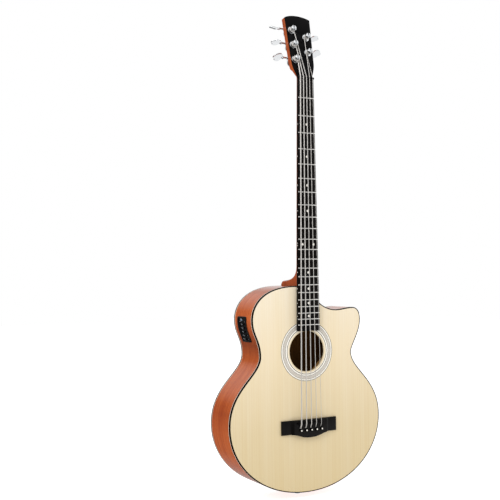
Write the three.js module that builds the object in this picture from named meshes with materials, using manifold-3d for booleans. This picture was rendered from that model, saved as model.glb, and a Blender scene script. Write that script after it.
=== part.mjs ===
// A five-string acoustic-electric bass guitar with a single cutaway, all sizes in millimetres.
// Everything is placed in the maker's frame: x runs to the treble side, y runs back from the face of
// the soundboard, z runs up the neck from the nut's front edge. The last lines move the whole
// instrument so that its origin lies where a hanger holds it, under the shoulders of the headstock.
import * as THREE from "three";
import { mergeVertices } from "three/addons/utils/BufferGeometryUtils.js";
import Module from "manifold-3d";

const wasm = await Module();
wasm.setup();

// Scale and body outline
const SCALE_LENGTH = 864;
const FRET_COUNT = 22;
const NECK_FRET_COUNT = 16;
const BODY_BEYOND_FRET = 2.4;
const LOWER_BOUT_WIDTH = 441.4;
const TAIL_TO_LOWER_BOUT = 178.8;
const WAIST_WIDTH = 268.8;
const LOWER_BOUT_TO_WAIST = 166.8;
const UPPER_BOUT_REACH = 156.2;
const WAIST_TO_UPPER_BOUT = 89.2;
const UPPER_BOUT_DROP = 83.5;
const SHOULDER_FLAT = 30;
const HORN_REACH = 164.3;
const HORN_DROP = 89.5;
const HORN_TIP_REACH = 140;
const HORN_TIP_DROP = 57.5;
const CUTAWAY_REACH = 90;
const CUTAWAY_DROP = 62.2;
const CUTAWAY_WALL = 29.5;
const CUTAWAY_WALL_LENGTH = 24.5;
const BODY_DEPTH_NECK = 95;
const BODY_DEPTH_TAIL = 110;

// Body walls
const TOP_THICKNESS = 3.5;
const BACK_THICKNESS = 3;
const RIB_THICKNESS = 2.5;
const BINDING_WIDTH = 2;
const BINDING_HEIGHT = 5;
const LINING_WIDTH = 6;
const LINING_HEIGHT = 11;
const GLUE_LINE = 0.3;
const OVERRUN = 5;

// Sound hole and rosette
const SOUND_HOLE_RADIUS = 51;
const SOUND_HOLE_BEYOND_BOARD = 51.3;
const ROSETTE_INNER_RADIUS = 54.5;
const ROSETTE_OUTER_RADIUS = 75.5;
const ROSETTE_THICKNESS = 1;

// Neck
const NUT_WIDTH = 44.6;
const BOARD_END_WIDTH = 64.6;
const BOARD_BEYOND_FRET = 15.5;
const BOARD_THICKNESS = 7.5;
const BOARD_UNDERSIDE = 4.5;
const FRET_WIDTH = 2.4;
const FRET_HEIGHT = 1.2;
const FRET_END_INSET = 0.4;
const NECK_DEPTH_NUT = 17.5;
const NECK_DEPTH_BODY = 21;
const NECK_BACK_POWER = 1.3;
const TONGUE_INSET = 3;
const TONGUE_LENGTH = 88;
const TENON_WIDTH = 28;
const TENON_LENGTH = 36;
const TENON_DEPTH = 70;
const HEEL_DEPTH = 91;
const HEEL_WIDTH = 40;
const HEEL_ROOT_WIDTH = 42;
const HEEL_ROOT_ABOVE_BODY = 60;
const HEEL_HOLLOW_ABOVE_BODY = 28;
const HEEL_HOLLOW_DEPTH = 36;
const HEEL_UNDERSIDE_ABOVE_BODY = 16;
const HEEL_CAP_HEIGHT = 14;
const HEEL_NOSE = 7;
const HEEL_CORNER = 5;

// Headstock
const HEADSTOCK_TILT = THREE.MathUtils.degToRad(12);
const HEADSTOCK_LENGTH = 162.5;
const HEADSTOCK_TOP_WIDTH = 74.6;
const HEADSTOCK_SHOULDER_WIDTH = 66.4;
const HEADSTOCK_SHOULDER = 41;
const HEADSTOCK_CROWN = 9.8;
const HEADSTOCK_CORNER_DROP = 0.5;
const HEADSTOCK_THICKNESS = 14.5;
const HEADSTOCK_FACE = 5.5;
const VENEER_THICKNESS = 1.5;
const VOLUTE_LENGTH = 24;

// Nut, strings and saddle
const B_STRING_DIAMETER = 3.2;
const E_STRING_DIAMETER = 2.65;
const A_STRING_DIAMETER = 2.15;
const D_STRING_DIAMETER = 1.65;
const G_STRING_DIAMETER = 1.15;
const NUT_LENGTH = 5;
const NUT_STRING_SPACING = 9.2;
const NUT_ABOVE_BOARD = 3.4;
const STRING_ABOVE_BOARD = 1.5;
const STRING_CLEARANCE = 0.3;
const SADDLE_STRING_SPACING = 14.8;
const SADDLE_COMPENSATION = 2.5;
const SADDLE_LENGTH = 76;
const SADDLE_WIDTH = 3;
const SADDLE_SLOT_DEPTH = 5;
const SADDLE_TOP = 17;
const BALL_DIAMETER = 6;
const BALL_LENGTH = 4;
const BALL_DROP = 2.5;
const WINDING_TURNS = 2;
const WINDING_GAP = 0.5;
const WINDING_STEPS = 20;
const STRING_SIDES = 6;

// Bridge and pins
const BRIDGE_LENGTH = 160.4;
const BRIDGE_OFFSET = 2;
const BRIDGE_HEIGHT = 34.6;
const BRIDGE_BEFORE_SADDLE = 5;
const BRIDGE_BELLY = 9.8;
const BRIDGE_BELLY_WIDTH = 112;
const BRIDGE_THICKNESS = 11;
const BRIDGE_WING_THICKNESS = 4.5;
const BRIDGE_BLOCK_WIDTH = 96;
const BRIDGE_RAMP = 10;
const PINS_BEYOND_SADDLE = 20;
const PIN_SPACING = 15.2;
const PIN_ROW_OFFSET = 3;
const PIN_DIAMETER = 5;
const PIN_HEAD_DIAMETER = 8;
const PIN_HEAD_HEIGHT = 5;
const PIN_LENGTH = 24;
const STRING_TO_PIN = 5.4;
const BRIDGE_PLATE_WIDTH = 140;
const BRIDGE_PLATE_HEIGHT = 54;
const BRIDGE_PLATE_RISE = 8;
const BRIDGE_PLATE_THICKNESS = 3;

// Braces and blocks
const BRACE_WIDTH = 8;
const BRACE_HEIGHT = 16;
const BRACE_END_HEIGHT = 5;
const X_BRACE_BELOW_HOLE = 81.65;
const X_BRACE_UPPER_REACH = 122;
const X_BRACE_LOWER_REACH = 166;
const UPPER_BRACE_BELOW_CUTAWAY = 33.3;
const UPPER_BRACE_WIDTH = 12;
const UPPER_BRACE_LENGTH = 250;
const UPPER_BRACE_HEIGHT = 18;
const ROD_NOTCH_WIDTH = 12;
const ROD_NOTCH_DEPTH = 11;
const BACK_BRACE_WIDTH = 12;
const BACK_BRACE_HEIGHT = 14;
const BACK_BRACE_END_CLEARANCE = 2;
const BACK_BRACE_BELOW_CUTAWAY = 26.3;
const BACK_BRACE_BELOW_WAIST = 93.8;
const BACK_BRACE_ABOVE_TAIL = 106.8;
const NECK_BLOCK_REACH = 44;
const NECK_BLOCK_LENGTH = 46;
const TAIL_BLOCK_WIDTH = 72;
const TAIL_BLOCK_THICKNESS = 18;

// Truss rod
const ROD_DIAMETER = 4;
const ROD_DEPTH = 8;
const ROD_START = 40;
const ROD_INTO_BODY = 66.5;
const ROD_NUT_DIAMETER = 8;
const ROD_NUT_LENGTH = 16;
const ROD_THREAD_LENGTH = 6;
const ROD_KEY_SIZE = 4.4;
const ROD_KEY_DEPTH = 7;

// Tuning machines, in the headstock's own frame
const BASS_POST_ROW = 22.5;
const BASS_POST_START = 46.5;
const BASS_POST_PITCH = 40.3;
const TREBLE_POST_ROW = 18.5;
const TREBLE_POST_START = 69;
const TREBLE_POST_PITCH = 42;
const POST_DIAMETER = 10;
const POST_WAIST_DIAMETER = 9.2;
const POST_HEAD_DIAMETER = 14;
const POST_WAIST_START = 1.8;
const POST_WAIST_LENGTH = 11.5;
const POST_HEAD_HEIGHT = 3.4;
const POST_SLOT_WIDTH = 3;
const POST_SLOT_DEPTH = 6;
const POST_CLEARANCE = 0.3;
const WHEEL_TEETH = 20;
const WHEEL_PITCH_RADIUS = 9.5;
const WHEEL_THICKNESS = 5;
const WORM_PITCH_RADIUS = 3.5;
const TOOTH_ADDENDUM = 0.85;
const TOOTH_DEDENDUM = 1.15;
const WORM_TURNS = 2;
const WORM_STEPS = 8;
const SHAFT_DIAMETER = 5;
const PLATE_THICKNESS = 1.5;
const PLATE_CORNER = 3;
const EAR_THICKNESS = 2;
const EAR_WIDTH = 8;
const EAR_MARGIN = 2.2;
const SLEEVE_WALL = 1.7;
const SLEEVE_LENGTH = 9;
const MESH_PLANE = 21.5;
const KEY_COLLAR_DIAMETER = 8;
const KEY_COLLAR_LENGTH = 6;
const KEY_COLLAR_REACH = 41;
const KEY_BLADE_LENGTH = 27;
const KEY_BLADE_WIDTH = 28;
const KEY_BLADE_THICKNESS = 3;
const KEY_TURNS = [70, 88, 130, 85, 72].map(THREE.MathUtils.degToRad);

// Side preamp
const PREAMP_LENGTH = 66;
const PREAMP_WIDTH = 46;
const PREAMP_BELOW_SHOULDER = 73.5;
const PREAMP_DEPTH_SHARE = 0.535;
const PREAMP_FLANGE_THICKNESS = 2;
const PREAMP_FLANGE_MARGIN = 3;
const PREAMP_COLLAR_WALL = 1.6;
const PREAMP_COLLAR_DEPTH = 9;
const PREAMP_CLEARANCE = 0.4;
const PANEL_THICKNESS = 2;
const PANEL_RECESS = 0.5;
const SLIDER_COUNT = 5;
const SLIDER_PITCH = 9.4;
const SLIDER_TRAVEL = 12;
const SLIDER_STEM_WIDTH = 1.6;
const SLIDER_STEM_LENGTH = 3;
const SLIDER_KNOB_WIDTH = 4;
const SLIDER_KNOB_LENGTH = 5;
const SLIDER_KNOB_HEIGHT = 3.4;
const SLIDER_FOOT_HEIGHT = 1.2;
const SLIDER_ROW_OFFSET = 6;
const BATTERY_LENGTH = 48.5;
const BATTERY_WIDTH = 26.5;
const BATTERY_THICKNESS = 17.5;
const BATTERY_HINGE_MARGIN = 2;
const CRADLE_WALL = 1.2;
const CRADLE_DEPTH = 8;

// Output jack and strap button
const JACK_BARREL_DIAMETER = 12;
const JACK_BORE_DIAMETER = 6.6;
const JACK_FLANGE_DIAMETER = 18;
const JACK_FLANGE_LENGTH = 3;
const JACK_NECK_LENGTH = 7;
const JACK_END_DIAMETER = 14;
const JACK_END_LENGTH = 4;
const JACK_INNER_LENGTH = 34;
const BUTTON_DEPTH_SHARE = 0.4;
const BUTTON_RISE = 11;
const BUTTON_BASE_DIAMETER = 13;
const BUTTON_NECK_DIAMETER = 7;
const BUTTON_END_DIAMETER = 14;
const BUTTON_LENGTH = 13;
const BUTTON_SCREW_DIAMETER = 4;
const BUTTON_SCREW_LENGTH = 15;

// Where the hanger's arms hold the headstock, above the nut
const HANGER_RISE = 14;

// Facets
const OUTLINE_STEPS = { shoulder: 8, upper: 5, waist: 7, tail: 10, horn: 4, tip: 4, dip: 3, cutaway: 6 };
const HOLE_FACETS = 40;
const ROUND_FACETS = 12;
const SMALL_FACETS = 8;
const NECK_FACETS = 12;
const MERGE_TOLERANCE = 1e-4;

// Stations worked out from the sizes above
const LOWER_BOUT_HEIGHT = TAIL_TO_LOWER_BOUT;
const WAIST_HEIGHT = LOWER_BOUT_HEIGHT + LOWER_BOUT_TO_WAIST;
const BODY_LENGTH = WAIST_HEIGHT + WAIST_TO_UPPER_BOUT + UPPER_BOUT_DROP;
const fretStation = (fret) => SCALE_LENGTH * (1 - 2 ** (-fret / 12));
const NUT_TO_BODY = fretStation(NECK_FRET_COUNT) + BODY_BEYOND_FRET;
const BOARD_LENGTH = fretStation(FRET_COUNT) + BOARD_BEYOND_FRET;
const SOUND_HOLE_STATION = BOARD_LENGTH + SOUND_HOLE_BEYOND_BOARD;
const BRIDGE_STATION = SCALE_LENGTH - BRIDGE_BEFORE_SADDLE;
const PIN_STATION = SCALE_LENGTH + PINS_BEYOND_SADDLE;
const BODY_TOP = -NUT_TO_BODY;
const BODY_TAIL = BODY_TOP - BODY_LENGTH;
const BOARD_TOP = -BOARD_UNDERSIDE - BOARD_THICKNESS;
const SADDLE_STATION = SCALE_LENGTH + SADDLE_COMPENSATION;
const RIB_END_MARGIN = BINDING_HEIGHT + GLUE_LINE;
const depthAt = (z) =>
  THREE.MathUtils.mapLinear(z, BODY_TOP, BODY_TAIL, BODY_DEPTH_NECK, BODY_DEPTH_TAIL);
const boardHalfWidth = (z) =>
  THREE.MathUtils.mapLinear(-z, 0, BOARD_LENGTH, NUT_WIDTH, BOARD_END_WIDTH) / 2;

// Finishes
const finish = (color, roughness, metalness = 0) =>
  new THREE.MeshStandardMaterial({ color, roughness, metalness });
const SPRUCE = finish(0xf0ddb4, 0.35);
const MAHOGANY = finish(0xb8663a, 0.35);
const PLAIN_WOOD = finish(0xc9a06c, 0.8);
const BLACK_WOOD = finish(0x17130f, 0.5);
const BLACK_PLASTIC = finish(0x101012, 0.35);
const GREY_INLAY = finish(0xa9a7a0, 0.4);
const CHROME = finish(0xd8dadd, 0.15, 1);
const STRING_STEEL = finish(0xb9b6b0, 0.3, 1);
const ROD_STEEL = finish(0x8a8d90, 0.4, 1);
const PIN_BLACK = finish(0x0c0c0d, 0.3);
const FADER_GREY = finish(0xcfd2d4, 0.5);
const BATTERY_WRAP = finish(0x2c3440, 0.45);

const instrument = new THREE.Group();

function add(name, geometry, material, group = instrument) {
  const mesh = new THREE.Mesh(geometry, material);
  mesh.name = name;
  group.add(mesh);
  return mesh;
}

// A closed triangle mesh turned into a solid that can be joined and cut.
function solidFrom(geometry) {
  const bare = geometry.index ? geometry.toNonIndexed() : geometry.clone();
  bare.deleteAttribute("normal");
  bare.deleteAttribute("uv");
  const merged = mergeVertices(bare, MERGE_TOLERANCE);
  return new wasm.Manifold(
    new wasm.Mesh({
      numProp: 3,
      vertProperties: merged.attributes.position.array,
      triVerts: new Uint32Array(merged.index.array),
    }),
  );
}

// A solid turned back into a geometry.
function geometryFrom(solid) {
  const mesh = solid.getMesh();
  const positions = new Float32Array(mesh.triVerts.length * 3);
  mesh.triVerts.forEach((vertex, i) => {
    positions.set(mesh.vertProperties.subarray(vertex * mesh.numProp, vertex * mesh.numProp + 3), i * 3);
  });
  return new THREE.BufferGeometry().setAttribute("position", new THREE.BufferAttribute(positions, 3));
}

const joined = (...geometries) =>
  geometryFrom(geometries.map(solidFrom).reduce((whole, next) => whole.add(next)));
const common = (a, b) => geometryFrom(solidFrom(a).intersect(solidFrom(b)));
const cut = (geometry, ...tools) =>
  geometryFrom(tools.map(solidFrom).reduce((whole, tool) => whole.subtract(tool), solidFrom(geometry)));

// Triangles given as corner numbers, turned so that their faces point out.
function facedOut(corners, triangles) {
  let volume = 0;
  for (const [a, b, c] of triangles) {
    volume += corners[a].dot(new THREE.Vector3().crossVectors(corners[b], corners[c]));
  }
  const order = volume < 0 ? triangles.map(([a, b, c]) => [a, c, b]) : triangles;
  const positions = order.flat().flatMap((corner) => corners[corner].toArray());
  return new THREE.BufferGeometry().setAttribute(
    "position",
    new THREE.Float32BufferAttribute(positions, 3),
  );
}

// A body through a row of rings that each have the same number of corners. Its ends are convex.
function loft(rings, closed = false) {
  const count = rings[0].length;
  const triangles = [];
  const spans = closed ? rings.length : rings.length - 1;
  for (let i = 0; i < spans; i += 1) {
    const near = i * count;
    const far = ((i + 1) % rings.length) * count;
    for (let k = 0; k < count; k += 1) {
      const next = (k + 1) % count;
      triangles.push([near + k, near + next, far + next], [near + k, far + next, far + k]);
    }
  }
  if (!closed) {
    const last = (rings.length - 1) * count;
    for (let k = 1; k < count - 1; k += 1) {
      triangles.push([0, k + 1, k], [last, last + k, last + k + 1]);
    }
  }
  return facedOut(rings.flat(), triangles);
}

// A flat outline in x and z, given its thickness from one depth y to another.
function plate(shape, near, far, facets = HOLE_FACETS) {
  const geometry = new THREE.ExtrudeGeometry(shape, {
    depth: far - near,
    bevelEnabled: false,
    curveSegments: facets / 4,
  });
  return geometry.rotateX(Math.PI / 2).translate(0, far, 0);
}

// A rectangle with its corners cut off.
function clipped(left, right, low, high, corner) {
  return new THREE.Shape([
    new THREE.Vector2(left + corner, low),
    new THREE.Vector2(right - corner, low),
    new THREE.Vector2(right, low + corner),
    new THREE.Vector2(right, high - corner),
    new THREE.Vector2(right - corner, high),
    new THREE.Vector2(left + corner, high),
    new THREE.Vector2(left, high - corner),
    new THREE.Vector2(left, low + corner),
  ]);
}

// A profile in x and y, drawn out along z from one station to another.
function bar(shape, from, to) {
  const geometry = new THREE.ExtrudeGeometry(shape, { depth: to - from, bevelEnabled: false });
  return geometry.translate(0, 0, from);
}

function box(x0, x1, y0, y1, z0, z1) {
  return new THREE.BoxGeometry(x1 - x0, y1 - y0, z1 - z0).translate(
    (x0 + x1) / 2,
    (y0 + y1) / 2,
    (z0 + z1) / 2,
  );
}

// A turned solid about z, from [radius, height] pairs that start and end on the axis.
function turned(profile, facets = ROUND_FACETS) {
  return new THREE.LatheGeometry(
    profile.map(([radius, height]) => new THREE.Vector2(radius, height)),
    facets,
  ).rotateX(Math.PI / 2);
}

const rod = (diameter, from, to, facets = ROUND_FACETS) =>
  turned([[0, from], [diameter / 2, from], [diameter / 2, to], [0, to]], facets);

// A leaning copy of a body drawn square, so that it follows the back of the instrument.
function leaning(geometry) {
  const position = geometry.attributes.position;
  for (let i = 0; i < position.count; i += 1) {
    position.setY(i, position.getY(i) + depthAt(position.getZ(i)));
  }
  return geometry;
}

// Body outline: a loop that starts over the neck joint and runs down the bass side
const outlineCurves = (() => {
  const up = (height) => BODY_TAIL + height;
  const path = (x, z) => new THREE.Path().moveTo(x, z);
  const lower = LOWER_BOUT_WIDTH / 2;
  const waist = WAIST_WIDTH / 2;
  const waistSpan = WAIST_HEIGHT - LOWER_BOUT_HEIGHT;
  const shoulderWidth = UPPER_BOUT_REACH - SHOULDER_FLAT;
  const upperHeight = BODY_LENGTH - UPPER_BOUT_DROP;
  const upperSpan = upperHeight - WAIST_HEIGHT;
  const hornHeight = BODY_LENGTH - HORN_DROP;
  const hornSpan = hornHeight - WAIST_HEIGHT;
  const hornTipHeight = BODY_LENGTH - HORN_TIP_DROP;
  const hornRise = hornTipHeight - hornHeight;
  const cutawayHeight = BODY_LENGTH - CUTAWAY_DROP;
  const dipWidth = HORN_TIP_REACH - CUTAWAY_REACH;
  const wallFoot = BODY_LENGTH - CUTAWAY_WALL_LENGTH;
  const cutawayWidth = CUTAWAY_REACH - CUTAWAY_WALL;
  const cutawayRise = wallFoot - cutawayHeight;
  return {
    bass: path(0, BODY_TOP)
      .lineTo(-TENON_WIDTH / 2 - GLUE_LINE, BODY_TOP)
      .lineTo(-SHOULDER_FLAT, BODY_TOP)
      .bezierCurveTo(
        -SHOULDER_FLAT - shoulderWidth * 0.83, BODY_TOP,
        -UPPER_BOUT_REACH, up(upperHeight + UPPER_BOUT_DROP * 0.36),
        -UPPER_BOUT_REACH, up(upperHeight),
      )
      .bezierCurveTo(
        -UPPER_BOUT_REACH, up(upperHeight - upperSpan * 0.42),
        -waist, up(WAIST_HEIGHT + upperSpan * 0.46),
        -waist, up(WAIST_HEIGHT),
      )
      .bezierCurveTo(
        -waist, up(WAIST_HEIGHT - waistSpan * 0.275),
        -lower, up(LOWER_BOUT_HEIGHT + waistSpan * 0.55),
        -lower, up(LOWER_BOUT_HEIGHT),
      )
      .bezierCurveTo(
        -lower, up(LOWER_BOUT_HEIGHT * 0.46),
        -lower * 0.594, BODY_TAIL,
        0, BODY_TAIL,
      ),
    treble: path(0, BODY_TAIL)
      .bezierCurveTo(
        lower * 0.594, BODY_TAIL,
        lower, up(LOWER_BOUT_HEIGHT * 0.46),
        lower, up(LOWER_BOUT_HEIGHT),
      )
      .bezierCurveTo(
        lower, up(LOWER_BOUT_HEIGHT + waistSpan * 0.55),
        waist, up(WAIST_HEIGHT - waistSpan * 0.275),
        waist, up(WAIST_HEIGHT),
      )
      .bezierCurveTo(
        waist, up(WAIST_HEIGHT + hornSpan * 0.17),
        HORN_REACH, up(hornHeight - hornSpan * 0.4),
        HORN_REACH, up(hornHeight),
      )
      .bezierCurveTo(
        HORN_REACH, up(hornHeight + hornRise * 0.5),
        HORN_TIP_REACH + (HORN_REACH - HORN_TIP_REACH) * 0.75, up(hornTipHeight),
        HORN_TIP_REACH, up(hornTipHeight),
      )
      .bezierCurveTo(
        HORN_TIP_REACH - dipWidth * 0.4, up(hornTipHeight),
        CUTAWAY_REACH + dipWidth * 0.4, up(cutawayHeight),
        CUTAWAY_REACH, up(cutawayHeight),
      )
      .bezierCurveTo(
        CUTAWAY_REACH - cutawayWidth * 0.46, up(cutawayHeight),
        CUTAWAY_WALL, up(wallFoot - cutawayRise * 0.53),
        CUTAWAY_WALL, up(wallFoot),
      )
      .lineTo(CUTAWAY_WALL, BODY_TOP)
      .lineTo(TENON_WIDTH / 2 + GLUE_LINE, BODY_TOP)
      .lineTo(0, BODY_TOP),
  };
})();

function walked(path, steps) {
  const points = [path.curves[0].getPoint(0)];
  path.curves.forEach((curve, i) => {
    for (let k = 1; k <= steps[i]; k += 1) {
      points.push(curve.getPoint(k / steps[i]));
    }
  });
  return points;
}

const steps = OUTLINE_STEPS;
const bassSide = walked(outlineCurves.bass, [1, 1, steps.shoulder, steps.upper, steps.waist, steps.tail]);
const trebleSide = walked(outlineCurves.treble, [
  steps.tail, steps.waist, steps.horn, steps.tip, steps.dip, steps.cutaway, 1, 1, 1,
]);
const outline = [...bassSide.slice(0, -1), ...trebleSide.slice(0, -1)];

// The outline drawn in by a distance, corner for corner.
function inset(distance) {
  return outline.map((point, i) => {
    const before = outline[(i + outline.length - 1) % outline.length];
    const after = outline[(i + 1) % outline.length];
    const into = point.clone().sub(before).normalize();
    const away = after.clone().sub(point).normalize();
    const normal = new THREE.Vector2(-into.y - away.y, into.x + away.x).normalize();
    const across = normal.dot(new THREE.Vector2(-into.y, into.x));
    return point.clone().addScaledVector(normal, distance / across);
  });
}

const TAIL_INDEX = bassSide.length - 1;
const BASS_JOINT_INDEX = 1;
const TREBLE_JOINT_INDEX = outline.length - 1;

// A standing wall between two insets of the outline, from corner to corner or all the way round.
function wall(outer, inner, near, far, from = 0, to = outline.length) {
  const rings = [];
  for (let i = from; i < to; i += 1) {
    const a = outer[i % outline.length];
    const b = inner[i % outline.length];
    rings.push([
      new THREE.Vector3(a.x, near(a.y), a.y),
      new THREE.Vector3(a.x, far(a.y), a.y),
      new THREE.Vector3(b.x, far(b.y), b.y),
      new THREE.Vector3(b.x, near(b.y), b.y),
    ]);
  }
  return loft(rings, to - from === outline.length);
}

const circle = (x, z, radius) => new THREE.Path().absarc(x, z, radius, 0, Math.PI * 2, true);

// Each string's place at the nut, the saddle and its pin
const diameters = [
  B_STRING_DIAMETER, E_STRING_DIAMETER, A_STRING_DIAMETER, D_STRING_DIAMETER, G_STRING_DIAMETER,
];
const strings = diameters.map((diameter, i) => {
  const place = i - (diameters.length - 1) / 2;
  return {
    number: i + 1,
    diameter,
    nutX: place * NUT_STRING_SPACING,
    saddleX: place * SADDLE_STRING_SPACING,
    pinX: place * PIN_SPACING + PIN_ROW_OFFSET,
  };
});

// A round pin hole with the notch that lets the string pass in front of the pin.
function keyhole({ saddleX, pinX, diameter }) {
  const radius = PIN_DIAMETER / 2 + GLUE_LINE;
  const notch = diameter / 2 + STRING_CLEARANCE;
  const side = Math.min(Math.max(saddleX - pinX, notch - radius), radius - notch);
  const left = side - notch;
  const right = side + notch;
  const top = STRING_TO_PIN + notch;
  const start = Math.acos(right / radius);
  const end = Math.acos(left / radius);
  const hole = new THREE.Path().moveTo(pinX + right, -PIN_STATION + top);
  hole.lineTo(pinX + right, -PIN_STATION + Math.sin(start) * radius);
  const turn = Math.PI * 2 - (end - start);
  for (let i = 1; i < SMALL_FACETS; i += 1) {
    const angle = start - (turn * i) / SMALL_FACETS;
    hole.lineTo(pinX + Math.cos(angle) * radius, -PIN_STATION + Math.sin(angle) * radius);
  }
  hole.lineTo(pinX + left, -PIN_STATION + Math.sin(end) * radius);
  hole.lineTo(pinX + left, -PIN_STATION + top);
  return hole;
}

// Where a string goes down through the bridge.
const stringHoleX = ({ saddleX, pinX, diameter }) => {
  const room = PIN_DIAMETER / 2 + GLUE_LINE - diameter / 2 - STRING_CLEARANCE;
  return pinX + THREE.MathUtils.clamp(saddleX - pinX, -room, room);
};

// Soundboard: spruce, with the sound hole, the rosette's channel and the pin holes
{
  const shape = new THREE.Shape(inset(BINDING_WIDTH + GLUE_LINE));
  shape.holes.push(circle(0, -SOUND_HOLE_STATION, SOUND_HOLE_RADIUS), ...strings.map(keyhole));
  const ring = new THREE.Shape().absarc(
    0, -SOUND_HOLE_STATION, ROSETTE_OUTER_RADIUS + GLUE_LINE, 0, Math.PI * 2,
  );
  ring.holes.push(circle(0, -SOUND_HOLE_STATION, ROSETTE_INNER_RADIUS - GLUE_LINE));
  const channel = plate(ring, -OVERRUN, ROSETTE_THICKNESS + GLUE_LINE);
  add("soundboard", cut(plate(shape, 0, TOP_THICKNESS), channel), SPRUCE);
}

// Rosette: a ring let into the soundboard round the sound hole
{
  const ring = new THREE.Shape().absarc(0, -SOUND_HOLE_STATION, ROSETTE_OUTER_RADIUS, 0, Math.PI * 2);
  ring.holes.push(circle(0, -SOUND_HOLE_STATION, ROSETTE_INNER_RADIUS));
  add("rosette", plate(ring, 0, ROSETTE_THICKNESS), GREY_INLAY);
}

// Back: a mahogany plate that leans with the deepening body
add(
  "back_plate",
  leaning(plate(new THREE.Shape(inset(BINDING_WIDTH + GLUE_LINE)), -BACK_THICKNESS, 0)),
  MAHOGANY,
);

// Bindings: black strips that cap the corners of the ribs
add(
  "binding_front",
  wall(outline, inset(BINDING_WIDTH), () => 0, () => BINDING_HEIGHT),
  BLACK_PLASTIC,
);
add(
  "binding_back",
  wall(outline, inset(BINDING_WIDTH), (z) => depthAt(z) - BINDING_HEIGHT, depthAt),
  BLACK_PLASTIC,
);

// Side preamp's place: on the bass side, between the upper bout and the waist
const preampTop = NUT_TO_BODY + PREAMP_BELOW_SHOULDER;
const preampEnds = [preampTop, preampTop + PREAMP_LENGTH].map((station) => {
  const i = bassSide.findIndex((point, k) => k > steps.shoulder && point.y < -station);
  const above = bassSide[i - 1];
  const below = bassSide[i];
  return above.clone().lerp(below, (above.y + station) / (above.y - below.y));
});

const preampFrame = (() => {
  const [top, bottom] = preampEnds;
  const along = bottom.clone().sub(top).normalize();
  const down = new THREE.Vector3(along.x, 0, along.y);
  const front = new THREE.Vector3(0, -1, 0);
  const out = new THREE.Vector3().crossVectors(down, front);
  const middle = top.clone().add(bottom).multiplyScalar(0.5);
  const group = new THREE.Group();
  group.quaternion.setFromRotationMatrix(new THREE.Matrix4().makeBasis(down, front, out));
  group.position.set(middle.x, depthAt(middle.y) * PREAMP_DEPTH_SHARE, middle.y);
  group.updateMatrix();
  return group;
})();

// How far the bent rib stands out between the two ends of the preamp.
const ribBulge = bassSide
  .filter((point) => point.y < preampEnds[0].y && point.y > preampEnds[1].y)
  .map((point) => {
    const local = new THREE.Vector3(point.x, preampFrame.position.y, point.y);
    return local.applyMatrix4(preampFrame.matrix.clone().invert()).z;
  })
  .reduce((most, height) => Math.max(most, height));

const preampWindow = {
  length: PREAMP_LENGTH - 2 * PREAMP_FLANGE_MARGIN,
  width: PREAMP_WIDTH - 2 * PREAMP_FLANGE_MARGIN,
};
const preampInside = {
  length: preampWindow.length - 2 * PREAMP_COLLAR_WALL,
  width: preampWindow.width - 2 * PREAMP_COLLAR_WALL,
};

// Ribs: bent mahogany sides that meet at the tail and let the neck's tenon pass between them
{
  const inner = inset(RIB_THICKNESS);
  const near = () => BINDING_HEIGHT;
  const far = (z) => depthAt(z) - RIB_END_MARGIN;
  const jackHole = rod(
    JACK_BARREL_DIAMETER + 2 * GLUE_LINE, BODY_TAIL - OVERRUN, BODY_TAIL + RIB_THICKNESS + OVERRUN,
  ).translate(0, depthAt(BODY_TAIL) / 2, 0);
  const seam = box(
    -GLUE_LINE / 2, GLUE_LINE / 2,
    -OVERRUN, BODY_DEPTH_TAIL + OVERRUN,
    BODY_TAIL - OVERRUN, BODY_TAIL + RIB_THICKNESS + OVERRUN,
  );
  const opening = box(
    -preampWindow.length / 2 - PREAMP_CLEARANCE, preampWindow.length / 2 + PREAMP_CLEARANCE,
    -preampWindow.width / 2 - PREAMP_CLEARANCE, preampWindow.width / 2 + PREAMP_CLEARANCE,
    -PREAMP_WIDTH / 2, PREAMP_WIDTH / 2,
  ).applyMatrix4(preampFrame.matrix);
  const bass = wall(outline, inner, near, far, BASS_JOINT_INDEX, TAIL_INDEX + 1);
  const treble = wall(outline, inner, near, far, TAIL_INDEX, TREBLE_JOINT_INDEX + 1);
  add("rib_bass", cut(bass, jackHole, seam, opening), MAHOGANY);
  add("rib_treble", cut(treble, jackHole, seam), MAHOGANY);
}

// Linings: strips inside the ribs that carry the soundboard and the back, stopped at the neck block
{
  const outer = inset(RIB_THICKNESS + GLUE_LINE);
  const inner = inset(RIB_THICKNESS + GLUE_LINE + LINING_WIDTH);
  const blockEnd = BODY_TOP - RIB_THICKNESS - NECK_BLOCK_LENGTH - GLUE_LINE;
  const from = outer.findIndex((point) => point.x < -NECK_BLOCK_REACH - GLUE_LINE);
  let to = outline.length - 1;
  while (inner[to].y > blockEnd || outer[to].y > blockEnd || inner[to].x < 0) {
    to -= 1;
  }
  const top = TOP_THICKNESS;
  const back = BACK_THICKNESS + GLUE_LINE;
  add(
    "lining_front",
    wall(outer, inner, () => top, () => top + LINING_HEIGHT, from, to + 1),
    PLAIN_WOOD,
  );
  add(
    "lining_back",
    wall(outer, inner, (z) => depthAt(z) - back - LINING_HEIGHT, (z) => depthAt(z) - back, from, to + 1),
    PLAIN_WOOD,
  );
}

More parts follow.
